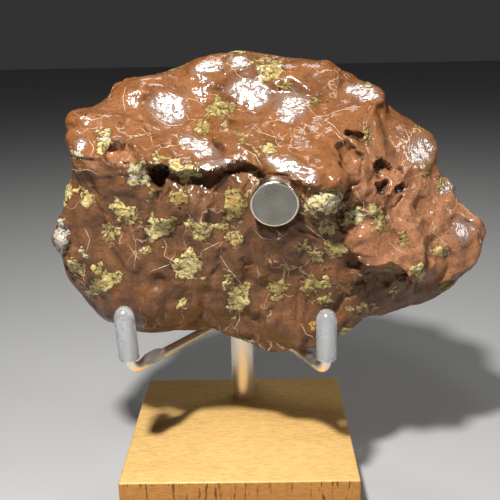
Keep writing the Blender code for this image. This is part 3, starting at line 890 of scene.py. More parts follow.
def mix(tree, share, first, second, blend="MIX"):
    """Two colours mixed by a share from 0 to 1."""
    settings = {"data_type": "RGBA", "blend_type": blend, "clamp_factor": True}
    output = add(tree, "ShaderNodeMix", share, output=2, **settings)
    for socket, value in zip(output.node.inputs[6:], (first, second)):
        feed(tree, socket, opaque(value))
    return output


def tint(tree, colour, by):
    return mix(tree, 1.0, colour, by, "MULTIPLY")


def sums(tree, operation, first, second=0.0, third=0.0):
    return add(tree, "ShaderNodeMath", first, second, third, operation=operation)


def stored(tree, name, pattern=None, swing=0.0):
    """A value kept on the mesh, frayed by a pattern that adds or takes half the swing."""
    value = add(tree, "ShaderNodeAttribute", output="Fac", attribute_name=name)
    if pattern is None:
        return value
    return sums(tree, "ADD", value, sums(tree, "MULTIPLY_ADD", pattern, swing, -swing / 2))


def bump(tree, height, distance, strength=1.0, onto=None):
    """Small relief from a value; distance is its height."""
    depth = {"Distance": distance, "Strength": strength}
    return add(tree, "ShaderNodeBump", Height=height, Normal=onto, **depth)


# %% [markdown]
# ## The stone's finish
#
# Up close the skin is rust-red stone under a clear varnish. Browns and a red drift into each other,
# the browns below the brow being painted shade, with more painted shade in the hollows; black specks
# and fine pale threads cross them, and the islands show single grains of cream, straw and olive with
# dark joints between. The varnish is the shader's coat, a second clear layer with its own sharper
# shine; a low roughness alone would look like wet plastic. It is thick on the glossy facets and worn
# thin between them, so its weight follows a value on the skin; on the facets the stone's colour is
# also painted a little grey, as a painted sheen.

# %% Colours of the stone
RED = (0.230, 0.084, 0.023)
RUST = (0.165, 0.062, 0.018)
PALE_RED = (0.325, 0.140, 0.064)
SHADE_BROWN = (0.182, 0.076, 0.029)
SHADE_UMBER = (0.128, 0.054, 0.022)
BLACK = (0.018, 0.012, 0.009)
SHEEN_GREY = (0.19, 0.135, 0.105)
GREY = (0.40, 0.35, 0.28)
CREAM = (0.60, 0.49, 0.22)
STRAW = (0.42, 0.30, 0.095)
OLIVE = (0.20, 0.155, 0.055)
AMBER = (0.42, 0.20, 0.05)
THREAD = (0.52, 0.38, 0.24)
DULL = (0.45, 0.45, 0.45)


def rock_colour(tree, place):
    """The bare stone: orange-brown above, umber as painted shade below, painted light on the lobe,
    painted shade in hollows, a painted grey sheen, streaks and specks.
    """
    above = ramp(tree, cloudy(tree, place, 45, 6), (0.36, RUST), (0.62, RED))
    streaks = cloudy(tree, stretched(tree, place, (1, 1, 0.3)), 260, 5, 0.6)
    # Painted shade: darker browns where the painted shade value is high.
    under = ramp(tree, streaks, (0.34, SHADE_UMBER), (0.60, SHADE_BROWN))
    shaded = stored(tree, "sheltered", cloudy(tree, place, 130, 5), 0.3)
    ground = mix(tree, ramp(tree, shaded, (0.25, 0.0), (0.75, 1.0)), above, under)
    # Painted light on the right lobe, and the pale floor of the freshly broken pit.
    ground = mix(tree, stored(tree, "paler"), ground, PALE_RED)
    smoke = ramp(tree, cloudy(tree, place, 190, 7, 0.7), (0.36, 0.62), (0.52, 1.0))
    ground = tint(tree, ground, smoke)
    # Painted shade: near black in the deep pits, the narrow clefts and under the ledges.
    hollow_shaded = stored(tree, "crust", cloudy(tree, place, 500, 5, 0.7), 1.2)
    ground = mix(tree, ramp(tree, hollow_shaded, (0.3, 0.0), (0.8, 0.85)), ground, BLACK)
    # Painted sheen: the colour is painted a little grey on the glossy facets.
    sheen_share = stored(tree, "varnish", cloudy(tree, place, 230, 4), 0.8)
    ground = mix(tree, ramp(tree, sheen_share, (0.5, 0.0), (1.0, 0.7)), ground, SHEEN_GREY)
    fine = ramp(tree, cloudy(tree, place, 1300, 5, 0.7), (0.32, 0.66), (0.66, 1.14))
    specks = ramp(tree, cloudy(tree, place, 620, 2), (0.27, 1.0), (0.31, 0.0))
    return mix(tree, specks, tint(tree, ground, fine), BLACK)


def thread_mask(tree, place):
    """Hairline cracks filled with pale mineral: the borders of large warped cells, here and there."""
    warp = add(tree, "ShaderNodeTexNoise", place, output="Color", Scale=150.0, Detail=3.0)
    offset = add(tree, "ShaderNodeVectorMath", warp, operation="SCALE", Scale=0.010)
    bent = add(tree, "ShaderNodeVectorMath", place, offset, operation="ADD")
    border = add(tree, "ShaderNodeTexVoronoi", bent, feature="DISTANCE_TO_EDGE", Scale=85.0)
    line = ramp(tree, border, (0.0, 1.0), (0.018, 0.0))
    here = ramp(tree, cloudy(tree, place, 60, 3), (0.52, 0.0), (0.60, 1.0))
    return sums(tree, "MULTIPLY", line, here)


def chips(tree, place, scale):
    """Angular chips: a random value and the nearness of the joint for each."""
    cell = add(tree, "ShaderNodeTexVoronoi", place, output="Color", Scale=scale)
    joint = add(tree, "ShaderNodeTexVoronoi", place, feature="DISTANCE_TO_EDGE", Scale=scale)
    return add(tree, "ShaderNodeSeparateColor", cell), joint


def island_colour(tree, place, own, joints):
    """Crumbly grains of cream, straw and olive with dark gaps here and there."""
    shade = stored(tree, "tone", cloudy(tree, place, 620, 7, 0.72), 3.4)
    shade = sums(tree, "MULTIPLY_ADD", own, 0.35, shade)
    shade = sums(tree, "MULTIPLY_ADD", shade, 0.62, 0.10)
    tones = ((0.0, GREY), (0.14, CREAM), (0.46, STRAW), (0.78, OLIVE), (1.0, AMBER))
    # Islands where the painted shade lies are painted up to 12% lighter.
    lighter_in_shade = ramp(tree, stored(tree, "sheltered"), (0.0, 1.0), (1.0, 1.12))
    dirt = cloudy(tree, place, 900, 6, 0.7)
    gap = ramp(tree, sums(tree, "MULTIPLY_ADD", joints, 0.9, dirt), (0.44, 0.12), (0.60, 1.0))
    return tint(tree, tint(tree, ramp(tree, shade, *tones), lighter_in_shade), gap)


# %% Stone
def stone_finish():
    material, tree, shader = finish(
        "varnished_stone", coat_roughness=0.14, coat_ior=1.55, specular_ior_level=0.15
    )
    place = coordinates(tree)
    own, joints = chips(tree, stretched(tree, place, (0.8, 0.8, 1.3)), 520)
    value = stored(tree, "island", cloudy(tree, place, 330, 7, 0.7), 1.1)
    value = sums(tree, "MULTIPLY_ADD", sums(tree, "SUBTRACT", own, 0.5), 0.22, value)
    inside = ramp(tree, value, (0.46, 0.0), (0.50, 1.0))
    halo = ramp(tree, value, (0.30, 1.0), (0.45, 0.62))
    rock = mix(tree, thread_mask(tree, place), tint(tree, rock_colour(tree, place), halo), THREAD)
    dull = ramp(tree, cloudy(tree, place, 200, 5), (0.35, 0.45), (0.7, 0.65))
    worn = stored(tree, "varnish", cloudy(tree, place, 160, 4), 0.8)
    dents = bump(tree, cloudy(tree, place, 260, 2, 0.4), 0.0004, 0.8)
    grain = bump(tree, cloudy(tree, place, 1300, 5, 0.6), 0.00025, 1.0, dents)
    crumbly = bump(tree, sums(tree, "MULTIPLY", value, inside), 0.0012, 0.6, grain)
    wrinkles = bump(tree, cloudy(tree, place, 380, 2, 0.5), 0.00028, 0.8, dents)
    crackle = bump(tree, chips(tree, place, 330)[1], 0.0004, 0.4, wrinkles)
    link(
        shader,
        base_color=mix(tree, inside, rock, island_colour(tree, place, own, joints)),
        roughness=mix(tree, inside, dull, DULL),
        coat_weight=ramp(tree, worn, (0.1, 0.38), (0.8, 1.0)),
        normal=crumbly,
        coat_normal=crackle,
    )
    return material


stone.data.materials.append(stone_finish())
stone.data.shade_smooth()
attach(stone, "root")
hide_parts("meteorite")
print("stone finished")

# %% [markdown]
# ## Pale veins
#
# Fine cream veins stand a hair proud of the skin, where the softer stone wore away beside them. A
# texture would be cheaper, but at this distance their edges and their shine show. So each vein is a
# path of a few points on the skin, and Geometry Nodes turn the paths into threads: resampled,
# jittered, pulled back onto the skin and given a small round section.

# %% Paths of the veins
VEINS = (
    ((126, 86), (123, 98), (125, 112)), ((74, 112), (82, 118), (92, 120), (102, 118), (112, 112)),
    ((137, 126), (144, 130), (151, 137), (153, 146)),
    ((290, 86), (298, 96), (306, 105), (318, 117), (330, 114), (344, 109), (358, 110)),
    ((255, 124), (262, 133), (275, 137), (290, 133)),
    ((304, 224), (314, 232), (326, 241), (336, 244)),
    ((162, 236), (167, 246), (164, 256), (176, 262)),
    ((203, 222), (210, 228), (216, 224), (224, 230)),
    ((222, 244), (220, 256), (228, 268), (238, 280), (246, 290)),
    ((222, 268), (232, 272), (240, 282)), ((200, 252), (212, 246), (220, 242)),
    ((186, 212), (192, 218), (196, 228), (206, 240)), ((152, 228), (140, 226), (130, 232)),
    ((176, 252), (170, 262), (178, 274)), ((238, 306), (240, 318), (234, 330)),
    ((180, 306), (184, 318), (178, 326)), ((140, 306), (146, 320), (142, 330)),
    ((366, 156), (374, 160), (382, 158)), ((336, 186), (346, 190), (352, 188)),
    ((282, 258), (290, 268), (288, 278)), ((352, 268), (362, 276), (372, 284)),
    ((388, 240), (398, 250), (410, 256)), ((300, 322), (306, 334), (314, 338)),
    ((205, 106), (196, 100), (186, 98)), ((246, 150), (256, 156), (262, 166)),
    ((150, 112), (158, 120), (170, 126), (184, 124)), ((88, 138), (94, 148), (90, 158)),
    ((334, 130), (342, 140), (346, 152)), ((404, 128), (410, 140), (408, 152)),
    ((84, 228), (90, 240), (86, 252)), ((128, 244), (136, 256), (134, 270)),
    ((254, 230), (262, 238), (272, 240)), ((318, 118), (332, 124), (340, 134)),
    ((262, 62), (276, 66), (288, 74)), ((170, 264), (160, 268), (150, 272)),
    ((352, 184), (360, 200), (370, 214), (384, 226)),
)
HIDDEN_VEINS = 46
HIDDEN_STEPS = (2, 7)
VEIN_STEP = 3.2
VEIN_TURN = 0.35
skin_surface = surface_of(stone)


def on_skin(x, y):
    """The point of the stone's skin that shows at a pixel, or None past its edge."""
    return skin_surface.ray_cast(EYE_M, ray_through(x, y))[0]


def wandering_path(start, steps):
    """A path that strays over the skin from a point, turning a little at each step."""
    place = skin_surface.find_nearest(Vector(start) * MM)[0]
    heading = Vector(chance.normal(size=3)).normalized()
    path = [place]
    for _ in range(steps):
        heading = (heading + Vector(chance.normal(size=3)) * VEIN_TURN).normalized()
        place, normal, *_ = skin_surface.find_nearest(place + heading * VEIN_STEP * MM)
        heading = (heading - normal * heading.dot(normal)).normalized()
        path.append(place)
    return path


def path_object(name, paths):
    """Paths as one mesh of bare edges, for a node tree to read."""
    bm = bmesh.new()
    for path in paths:
        points = [bm.verts.new(place) for place in path]
        for pair in zip(points, points[1:]):
            bm.edges.new(pair)
    return solid(name, bm)


vein_paths = [[on_skin(x, y) for x, y in vein] for vein in VEINS]
vein_paths = [[place for place in path if place is not None] for path in vein_paths]
for middle in scatter_unseen(HIDDEN_VEINS):
    vein_paths.append(wandering_path(skin[middle], int(chance.integers(*HIDDEN_STEPS))))
veins = path_object("pale_veins", vein_paths)
print(f"{len(vein_paths)} veins")

# %% [markdown]
# ## Tools for Geometry Nodes
#
# A tree has named inputs, so that it serves several pieces with other numbers. They are set before
# it first runs, and the result is kept as a plain mesh without the modifier. Both trees end the same
# way: instances made real, then a finish.

# %% Node tree helpers
INPUT_KINDS = {
    float: "NodeSocketFloat",
    int: "NodeSocketInt",
    "object": "NodeSocketObject",
    "material": "NodeSocketMaterial",
}


def tree_with_inputs(name, **inputs):
    """A Geometry Nodes tree with the named inputs: its inputs' sockets and its output's."""
    tree = bpy.data.node_groups.new(name, "GeometryNodeTree")
    for side in ("INPUT", "OUTPUT"):
        tree.interface.new_socket("Geometry", in_out=side, socket_type="NodeSocketGeometry")
    for word, value in inputs.items():
        kind = INPUT_KINDS.get(type(value)) or INPUT_KINDS[value]
        socket = tree.interface.new_socket(
            word.replace("_", " "), in_out="INPUT", socket_type=kind
        )
        if type(value) in INPUT_KINDS:
            socket.default_value = value
    start = tree.nodes.new("NodeGroupInput").outputs
    return tree, start, tree.nodes.new("NodeGroupOutput").inputs[0]


def circle(tree, sides, radius):
    return add(tree, "GeometryNodeCurvePrimitiveCircle", Resolution=sides, Radius=radius)


def end_with_finish(tree, geometry, start, end):
    """Makes a tree's instances real, gives them the finish and hands them on."""
    real = add(tree, "GeometryNodeRealizeInstances", geometry)
    dressed = add(tree, "GeometryNodeSetMaterial", real, Material=start["Surface"])
    tree.links.new(dressed, end)
    return tree


def grow(obj, tree, **values):
    """Runs a tree on an object, sets its inputs by identifier, and keeps the result as its mesh."""
    modifier = obj.modifiers.new(tree.name, "NODES")
    modifier.node_group = tree
    sockets = [item for item in tree.interface.items_tree if item.in_out == "INPUT"]
    identifiers = {socket.name: socket.identifier for socket in sockets}
    for word, value in values.items():
        modifier[identifiers[word.replace("_", " ")]] = value
    made = evaluated_mesh(obj)
    obj.modifiers.remove(modifier)
    obj.data = made


# %% Threads along the paths
VEIN_THICKNESS = 0.085
VEIN_DARK = (0.30, 0.19, 0.10)
VEIN_PALE = (0.70, 0.58, 0.40)
THREAD_SIDES = 6
THREAD_WIDEST = 1.05
THREAD_SWELL = 1.9


def stray_offset(tree, seed, reach):
    """A random push for each point, up to half the reach in each direction."""
    settings = {"noise_dimensions": "4D", "output": "Color"}
    jitter = add(tree, "ShaderNodeTexNoise", W=seed, Scale=420.0, **settings)
    centred = add(tree, "ShaderNodeVectorMath", jitter, (0.5, 0.5, 0.5), operation="SUBTRACT")
    return add(tree, "ShaderNodeVectorMath", centred, operation="SCALE", Scale=reach)


def thread_width(tree):
    """Full along most of a thread, drawn to a point at its ends, and swelling at random."""
    along = add(tree, "GeometryNodeSplineParameter", output="Factor")
    from_middle = sums(tree, "MULTIPLY", sums(tree, "SUBTRACT", along, 0.5), 2.0)
    taper = sums(tree, "SUBTRACT", THREAD_WIDEST, sums(tree, "POWER", from_middle, 4.0))
    beads = add(tree, "ShaderNodeTexNoise", Scale=700.0)
    return sums(tree, "MULTIPLY", taper, sums(tree, "MULTIPLY", beads, THREAD_SWELL))


def thread_tree():
    tree, start, end = tree_with_inputs(
        "threads on a skin", Skin="object", Thickness=0.0003, Spacing=0.0006, Stray=0.0005,
        Seed=3, Surface="material",
    )
    curve = add(tree, "GeometryNodeMeshToCurve", start["Geometry"])
    even = add(tree, "GeometryNodeResampleCurve", curve, mode="LENGTH", Length=start["Spacing"])
    stray = stray_offset(tree, start["Seed"], start["Stray"])
    bent = add(tree, "GeometryNodeSetPosition", even, Offset=stray)
    skin_shape = add(tree, "GeometryNodeObjectInfo", start["Skin"], output="Geometry")
    nearest = add(tree, "GeometryNodeProximity", skin_shape, target_element="FACES")
    laid = add(tree, "GeometryNodeSetPosition", bent, Position=nearest)
    section = circle(tree, THREAD_SIDES, start["Thickness"])
    width = thread_width(tree)
    tube = add(
        tree, "GeometryNodeCurveToMesh", laid, Profile_Curve=section, Scale=width, Fill_Caps=True
    )
    smooth = add(tree, "GeometryNodeSetShadeSmooth", tube)
    return end_with_finish(tree, smooth, start, end)


def vein_finish():
    material, tree, shader = finish(
        "vein_mineral", roughness=0.38, coat_weight=0.6, coat_roughness=0.15
    )
    mottle = cloudy(tree, coordinates(tree), 500, 3)
    link(shader, base_color=ramp(tree, mottle, (0.3, VEIN_DARK), (0.6, VEIN_PALE)))
    return material


grow(veins, thread_tree(), Skin=stone, Thickness=VEIN_THICKNESS * MM, Surface=vein_finish())
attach(veins, "root")
print(f"veins: {len(veins.data.polygons)} faces")

# %% [markdown]
# ## Turned pieces
#
# The magnet, the post and the sleeves are all round about an axis. Each is drawn as half its
# outline, from one end of the axis to the other, and spun. One helper spins the outline, closes it
# and sets the piece on its axis; a cylinder with a bevel would need a modifier for each edge.

# %% Spinning an outline
SEAM_REACH = 0.002
TURNED_SHARP = 50


def turned(name, outline, foot, axis, sides=64):
    """A closed round piece from points of radius and height, set on a foot and an axis."""
    bm = bmesh.new()
    points = [bm.verts.new((radius * MM, 0, height * MM)) for radius, height in outline]
    edges = [bm.edges.new(pair) for pair in zip(points, points[1:])]
    bmesh.ops.spin(
        bm, geom=points + edges, cent=(0, 0, 0), axis=(0, 0, 1), angle=math.tau, steps=sides
    )
    join_corners(bm, SEAM_REACH)
    turn = Vector(axis).normalized().to_track_quat("Z", "Y").to_matrix().to_4x4()
    bmesh.ops.transform(bm, matrix=Matrix.Translation(Vector(foot) * MM) @ turn, verts=bm.verts)
    return solid(name, bm, TURNED_SHARP)


def quarter_turn(steps):
    """The sine and cosine of angles from 0 to a quarter turn."""
    angles = [math.pi / 2 * step / steps for step in range(steps + 1)]
    return [(math.sin(angle), math.cos(angle)) for angle in angles]


def rounded(radius, height, ease, steps=5):
    """An outline's corner eased to a quarter round: from the end face out to the side."""
    return [
        (radius - ease + ease * sine, height - ease + ease * cosine)
        for sine, cosine in quarter_turn(steps)
    ]


def dress(obj, material, node):
    """Gives a piece its finish and hangs it on the root; the frame node that it stands for, if given, is
    hidden.
    """
    obj.data.materials.clear()
    obj.data.materials.append(material)
    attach(obj, "root")
    if node:
        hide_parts(node)


# %% [markdown]
# ## The magnet
#
# A small nickel-plated disc clings to the stone's face by its own pull. Plating follows the pressed
# powder under it, so the edges are softly rounded, the faces are faintly orange-peeled, and handling
# leaves hairline scratches. The rim is painted a pale cream metal, a painted reflection of the lit
# wood, which needs a value on the disc's points, because a pattern in space would not keep to it.
# The disc sits on the frame's tilted axis.

# %% Magnet
MAGNET = {"diameter": 14.0, "thickness": 5.0, "edge": 0.5, "centre": (12.0, -33.7, 108.6)}
MAGNET_DIP = 12.5
MAGNET_TURN = 1.0
RIM_BAND = 0.15
RIM_FADE = 0.1
NICKEL_DARK = (0.20, 0.19, 0.165)
NICKEL_PALE = (0.30, 0.285, 0.25)
NICKEL_RIM_GLINT = (0.80, 0.74, 0.60)


def magnet_axis():
    dip, turn = math.radians(MAGNET_DIP), math.radians(MAGNET_TURN)
    return (-math.sin(turn) * math.cos(dip), -math.cos(turn) * math.cos(dip), -math.sin(dip))


def nickel_finish():
    material, tree, shader = finish("nickel_plate", metallic=1.0)
    place = coordinates(tree)
    tarnish = ramp(tree, cloudy(tree, place, 160, 5), (0.3, NICKEL_DARK), (0.7, NICKEL_PALE))
    spots = ramp(tree, cloudy(tree, place, 900, 2), (0.24, 0.35), (0.29, 1.0))
    # Painted reflection: the rim is painted a pale cream metal.
    rim = ramp(tree, stored(tree, "rim", cloudy(tree, place, 1400, 3), 1.4), (0.35, 0.0), (0.6, 1.0))
    scratches = cloudy(tree, stretched(tree, place, (60, 1, 2200), (0, 0.6, 0)), 1.0, 2)
    peel = bump(tree, cloudy(tree, place, 1600, 2), 0.00002)
    link(
        shader,
        base_color=mix(tree, rim, tint(tree, tarnish, spots), NICKEL_RIM_GLINT),
        roughness=ramp(tree, cloudy(tree, place, 420, 4), (0.3, 0.20), (0.7, 0.34)),
        normal=bump(tree, scratches, 0.00003, 0.6, peel),
    )
    return material


def magnet_disc():
    """The disc, with a ring of points just inside its edge and a value that is 1 on the rim."""
    radius, thick, edge = MAGNET["diameter"] / 2, MAGNET["thickness"], MAGNET["edge"]
    face = rounded(radius, thick, edge)
    back = [(across, thick - height) for across, height in reversed(face)]
    outline = [(0.0, thick), (radius - edge - RIM_BAND, thick), *face, *back, (0.0, 0.0)]
    disc = turned("disc_magnet", outline, MAGNET["centre"], magnet_axis(), 96)
    axis = np.array(magnet_axis())
    across = vectors(disc.data.vertices, "co") / MM - MAGNET["centre"]
    across -= (across @ axis)[:, None] * axis
    past_edge = np.linalg.norm(across, axis=1) - radius + edge
    store(disc.data, "rim", np.clip(1 + past_edge / RIM_FADE, 0, 1))
    return disc


dress(magnet_disc(), nickel_finish(), "magnet")
print(f"magnet: {MAGNET['diameter']} mm across, {MAGNET['thickness']} mm thick")

# %% [markdown]
# ## The wooden base
#
# The base is a square of pale hardwood, stained honey-brown and lightly varnished, its edges barely
# broken with sandpaper. On the top the grain runs from side to side as a fine mottle; the edge faces
# show short dark flecks where the pores are cut across, and they are painted darker than the top as
# painted shade. Grain has no relief that could be seen, so it is painted in the finish, from noise
# stretched along one axis.

# %% Wooden base
BASE = {"side": 76.2, "height": 19.0, "edge": 0.8}
BASE_SHARP = 35
HONEY_DARK = (0.62, 0.36, 0.115)
HONEY = (0.68, 0.42, 0.145)
HONEY_PALE = (0.72, 0.455, 0.17)
PORE = (0.16, 0.07, 0.022)
SIDE_SHADE = (0.60, 0.42, 0.26)


def wood_finish():
    material, tree, shader = finish(
        "honey_wood", specular_ior_level=0.3, coat_weight=0.08, coat_roughness=0.3
    )
    place = coordinates(tree)
    broad = cloudy(tree, stretched(tree, place, (14, 90, 90)), 1.0, 5, 0.6)
    fine = cloudy(tree, stretched(tree, place, (420, 1500, 1500)), 1.0, 3)
    pores = cloudy(tree, stretched(tree, place, (900, 900, 130)), 1.0, 3, 0.6)
    facing = add(tree, "ShaderNodeNewGeometry", output="Normal")
    upright = sums(tree, "ABSOLUTE", add(tree, "ShaderNodeSeparateXYZ", facing, output=2))
    colour = ramp(tree, broad, (0.25, HONEY_DARK), (0.5, HONEY), (0.8, HONEY_PALE))
    colour = tint(tree, colour, ramp(tree, fine, (0.36, 0.84), (0.60, 1.08)))
    flecks = ramp(tree, pores, (0.36, 1.0), (0.43, 0.0))
    on_edges = ramp(tree, upright, (0.3, 0.85), (0.7, 0.05))
    colour = mix(tree, sums(tree, "MULTIPLY", flecks, on_edges), colour, PORE)
    link(
        shader,
        # Painted shade: the upright faces are painted darker than the top.
        base_color=tint(tree, colour, ramp(tree, upright, (0.3, SIDE_SHADE), (0.7, 1.0))),
        roughness=ramp(tree, fine, (0.3, 0.50), (0.7, 0.36)),
        normal=bump(tree, fine, 0.00004),
    )
    return material


def wooden_base():
    side, height = BASE["side"] * MM, BASE["height"] * MM
    bm = bmesh.new()
    bmesh.ops.create_cube(bm, size=1.0)
    bmesh.ops.scale(bm, vec=(side, side, height), verts=bm.verts)
    bmesh.ops.translate(bm, vec=(0, 0, height / 2), verts=bm.verts)
    bmesh.ops.bevel(
        bm, geom=bm.edges[:], offset=BASE["edge"] * MM, segments=4, profile=0.5, affect="EDGES"
    )
    return solid("wooden_base", bm, BASE_SHARP)


dress(wooden_base(), wood_finish(), "wood_base")
print(f"base: {BASE['side']} mm square")

# %% [markdown]
# ## The post
#
# A polished brass rod is glued into a hole near the back of the base, so that the stone's weight
# comes over its middle. Polished metal is all reflection, so the finish is a metal colour and a low,
# slightly uneven roughness, and no more.

# %% Post
POST = {"diameter": 9.0, "place": (0.6, 24.0), "foot": 9.0, "top": 56.0, "edge": 0.9}
BRASS = (0.92, 0.83, 0.69)
BRASS_PALE = (0.98, 0.92, 0.82)


def brass_finish():
    material, tree, shader = finish("polished_brass", metallic=1.0)
    place = coordinates(tree)
    link(
        shader,
        base_color=ramp(tree, cloudy(tree, place, 120, 4), (0.3, BRASS), (0.7, BRASS_PALE)),
        roughness=ramp(tree, cloudy(tree, place, 700, 4), (0.3, 0.29), (0.7, 0.36)),
    )
    return material


def brass_post():
    radius, length = POST["diameter"] / 2, POST["top"] - POST["foot"]
    top = rounded(radius, length, POST["edge"])
    outline = [(0.0, length), *top, (radius, 0.0), (0.0, 0.0)]
    return turned("brass_post", outline, (*POST["place"], POST["foot"]), (0, 0, 1), 72)


brass = brass_finish()
dress(brass_post(), brass, "post")
print(f"post: {POST['diameter']} mm across")

# %% [markdown]
# ## Bent wire arms
#
# Each arm is one length of brass wire: level from the post, turned up round a small former, and cut
# off as a prong. Three points make its path, and Geometry Nodes do the rest: Fillet Curve rounds the
# bend, and a circle swept along it is the wire. A curve object with a bevel would do for one arm;
# the tree serves all three, and the cutters for their sleeves, with other numbers.

# %% Wire tree
WIRE = {"diameter": 3.2, "bend": 4.2, "height": 53.0}
ARMS = {
    "left": {"bend": (-33.4, -28.5), "top": (-34.4, -28.5, 70.0)},
    "right": {"bend": (27.6, -31.0), "top": (27.5, -31.0, 69.0)},
    "back": {"bend": (3.0, 40.5), "top": (4.0, 44.5, 81.0)},
}
BEND_STEPS = 14


def wire_tree():
    tree, start, end = tree_with_inputs(
        "bent wire", Bend_Radius=0.004, Wire_Radius=0.002, Sides=24, Surface="material"
    )
    curve = add(tree, "GeometryNodeMeshToCurve", start["Geometry"])
    rounding = {"Radius": start["Bend Radius"], "Count": BEND_STEPS}
    bend = add(tree, "GeometryNodeFilletCurve", curve, mode="POLY", **rounding)
    section = circle(tree, start["Sides"], start["Wire Radius"])
    tube = add(tree, "GeometryNodeCurveToMesh", bend, Profile_Curve=section, Fill_Caps=True)
    return end_with_finish(tree, tube, start, end)


def arm_line(side):
    """An arm's start in the post, its corner and its tip."""
    corner = Vector((*ARMS[side]["bend"], WIRE["height"]))
    return Vector((*POST["place"], WIRE["height"])), corner, Vector(ARMS[side]["top"])


def wire_object(name, side, diameter, past_tip=0.0):
    start, corner, tip = arm_line(side)
    tip = tip + (tip - corner).normalized() * past_tip
    wire = path_object(name, [[start * MM, corner * MM, tip * MM]])
    grow(wire, bent_wire, Bend_Radius=WIRE["bend"] * MM, Wire_Radius=diameter / 2 * MM, Surface=brass)
    bm = bmesh.new()
    bm.from_mesh(wire.data)
    join_corners(bm, SEAM_REACH)
    bm.to_mesh(wire.data)
    bm.free()
    soften(wire.data, TURNED_SHARP)
    return wire


bent_wire = wire_tree()
print(f"one wire tree for {len(ARMS)} arms")

# %% [markdown]
# ## The arms and their solder joints
#
# The arms are soldered to the post, and each joint has a small cone of solder that crept along the
# wire. The cone is a turned piece about the wire's axis, wide at the post and easing down to the
# wire; metaballs would do too, but their size can't be given.

# %% Arms and their solder joints
SOLDER = {"wide": 2.7, "long": 2.8, "in post": 0.8, "in wire": 0.1, "ease": 2.2, "steps": 8}


def solder_joint(side):
    start, corner, _ = arm_line(side)
    wire, post = WIRE["diameter"] / 2, POST["diameter"] / 2
    cone = []
    for step in range(SOLDER["steps"] + 1):
        share = step / SOLDER["steps"]
        radius = wire - SOLDER["in wire"] + (SOLDER["wide"] - wire) * (1 - share) ** SOLDER["ease"]
        cone.append((radius, post - SOLDER["in post"] + SOLDER["long"] * share))
    outline = [(0.0, cone[-1][1]), *reversed(cone), (0.0, cone[0][1])]
    return turned(side + "_solder_joint", outline, start, (corner - start).normalized(), 32)


for side in ARMS:
    dress(wire_object(side + "_wire_arm", side, WIRE["diameter"]), brass, side + "_arm")
    dress(solder_joint(side), brass, None)
print(f"{len(ARMS)} arms of {WIRE['diameter']} mm wire")

# %% [markdown]
# ## Clear sleeves
#
# Short tubes of clear vinyl with domed ends keep the metal off the stone. Wear has frosted them, so
# part of the light passes and part is scattered. A solid see-through rod would bend light the wrong
# way, so each is a real tube with the prong in its bore. Where the wire turns away below, the bore's
# cutter opens the wall.

# %% Sleeves
SLEEVE = {"diameter": 6.4, "start": 4.0, "dome": 4.0, "gap": 0.3}
SLEEVE_FOOT = ((0.0, 0.35), (0.1, 0.1), (0.35, 0.0))
DOME_STEPS = 14


def vinyl_finish(name, colour, clearness, roughness):
    material, tree, shader = finish(
        name, base_color=colour, transmission_weight=clearness, ior=1.47, coat_weight=0.3,
        coat_roughness=0.2,
    )
    haze = cloudy(tree, coordinates(tree), 160, 2)
    link(shader, roughness=ramp(tree, haze, (0.3, roughness), (0.7, roughness + 0.06)))
    return material


def sleeve_outline(length):
    """The sleeve's outer half outline, from the dome's top down to its open end."""
    radius, dome = SLEEVE["diameter"] / 2, SLEEVE["dome"]
    top = [(radius * sine, length + dome * cosine) for sine, cosine in quarter_turn(DOME_STEPS)]
    return [*top, *((radius - inward, height) for inward, height in SLEEVE_FOOT), (0.0, 0.0)]


def vinyl_sleeve(side):
    _, corner, tip = arm_line(side)
    up = (tip - corner).normalized()
    length = (tip - corner).length - SLEEVE["start"] + SLEEVE["gap"]
    foot = corner + up * SLEEVE["start"]
    sleeve = turned(side + "_vinyl_sleeve", sleeve_outline(length), foot, up, 48)
    bore = wire_object("bore", side, WIRE["diameter"] + 2 * SLEEVE["gap"], SLEEVE["gap"])
    opening = sleeve.modifiers.new("bore", "BOOLEAN")
    opening.operation = "DIFFERENCE"
    opening.solver = "EXACT"
    opening.object = bore
    bored = evaluated_mesh(sleeve)
    sleeve.modifiers.clear()
    sleeve.data = bored
    bpy.data.objects.remove(bore, do_unlink=True)
    return sleeve


vinyl = vinyl_finish("clear_vinyl", (0.81, 0.83, 0.85), 0.78, 0.24)
for side in ARMS:
    dress(vinyl_sleeve(side), vinyl, side + "_sleeve")
print("sleeves fitted")

# %% [markdown]
# ## Silicone pads
#
# On each front arm, just behind the bend, a lump of clear silicone keeps the stone from sliding. It
# was squeezed out soft and set in a loaf shape. Sculpting would do, but a ball that is squared off,
# flattened over the wire and pushed about by noise has the same careless look.

# %% Pads
PAD = {"length": 12.4, "width": 4.8, "rise": 1.2, "setback": 4.4}
PAD_FLOOR = -0.1
PAD_SQUARE = 0.65
PAD_UNEVEN = {"size": 1 / 3, "share": 0.07}


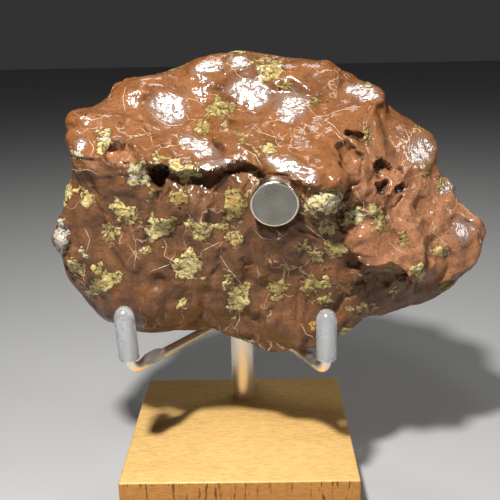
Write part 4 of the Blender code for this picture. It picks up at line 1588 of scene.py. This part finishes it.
def silicone_pad(side):
    start, corner, _ = arm_line(side)
    inward = (start - corner).normalized()
    middle = corner + inward * (PAD["setback"] + PAD["length"] / 2)
    half_height = WIRE["diameter"] / 2 + PAD["rise"]
    bm = bmesh.new()
    bmesh.ops.create_icosphere(bm, subdivisions=5, radius=1.0)
    for vertex in bm.verts:
        x, y, z = vertex.co
        squarer = 1.0 / max(abs(x) ** 3 + abs(y) ** 3 + abs(z) ** 3, 0.2) ** (1 / 3)
        spread = min(1 - PAD_SQUARE + PAD_SQUARE * squarer, 1.0)
        own_noise = vertex.co / PAD_UNEVEN["size"] + Vector((0, 0, len(side)))
        uneven = 1 + PAD_UNEVEN["share"] * noise.noise(own_noise)
        size = (x * PAD["length"] / 2, y * PAD["width"] / 2, max(z, PAD_FLOOR) * half_height)
        vertex.co = Vector(size) * spread * uneven
    turn = Matrix.Rotation(math.atan2(inward.y, inward.x), 4, "Z")
    bmesh.ops.scale(bm, vec=(MM, MM, MM), verts=bm.verts)
    bmesh.ops.transform(bm, matrix=Matrix.Translation(middle * MM) @ turn, verts=bm.verts)
    pad = solid(side + "_silicone_pad", bm)
    pad.data.shade_smooth()
    return pad


silicone = vinyl_finish("clear_silicone", (0.85, 0.85, 0.83), 0.95, 0.05)
for side in ("left", "right"):
    dress(silicone_pad(side), silicone, side + "_pad")
print("pads set")

# %% [markdown]
# ## Floor and light
#
# The floor is plain and pale. One small bright lamp above the camera lights the upper slope and
# leaves the face under the brow in half shade. Three weak panels in front, behind and on the right
# give the varnish its reflections, and a dim even sky fills the shadows. One large softbox would be
# simpler, but it would wash out the relief and the gloss.

# %% Floor
FLOOR_HALF_M = 3.0
FLOOR_GREY = (0.43, 0.425, 0.415)

bm = bmesh.new()
bmesh.ops.create_grid(bm, x_segments=1, y_segments=1, size=FLOOR_HALF_M)
floor = solid("floor", bm)
floor.data.materials.append(finish("floor", base_color=FLOOR_GREY, roughness=0.85)[0])
print(f"floor: {2 * FLOOR_HALF_M:.0f} m square")

# %% Light
LAMP_AIM = Vector((0.0, 0.0, 85.0))
SKY = (0.60, 0.60, 0.62)
SKY_STRENGTH = 0.055


def area_light(name, place, watts, across):
    panel = bpy.data.lights.new(name, "AREA")
    panel.energy = watts
    panel.shape = "DISK"
    panel.size = across * MM
    light = in_scene(name, panel)
    light.location = Vector(place) * MM
    light.rotation_euler = (LAMP_AIM - Vector(place)).to_track_quat("-Z", "Y").to_euler()


for name, lamp in LAMPS.items():
    area_light(name, **lamp)
world = bpy.data.worlds.new("studio")
world.use_nodes = True
sky = world.node_tree.nodes["Background"].inputs
sky["Color"].default_value = opaque(SKY)
sky["Strength"].default_value = SKY_STRENGTH
bpy.context.scene.world = world
bpy.context.scene.view_settings.view_transform = "Standard"
print(f"{len(LAMPS)} lamps and a dim sky")
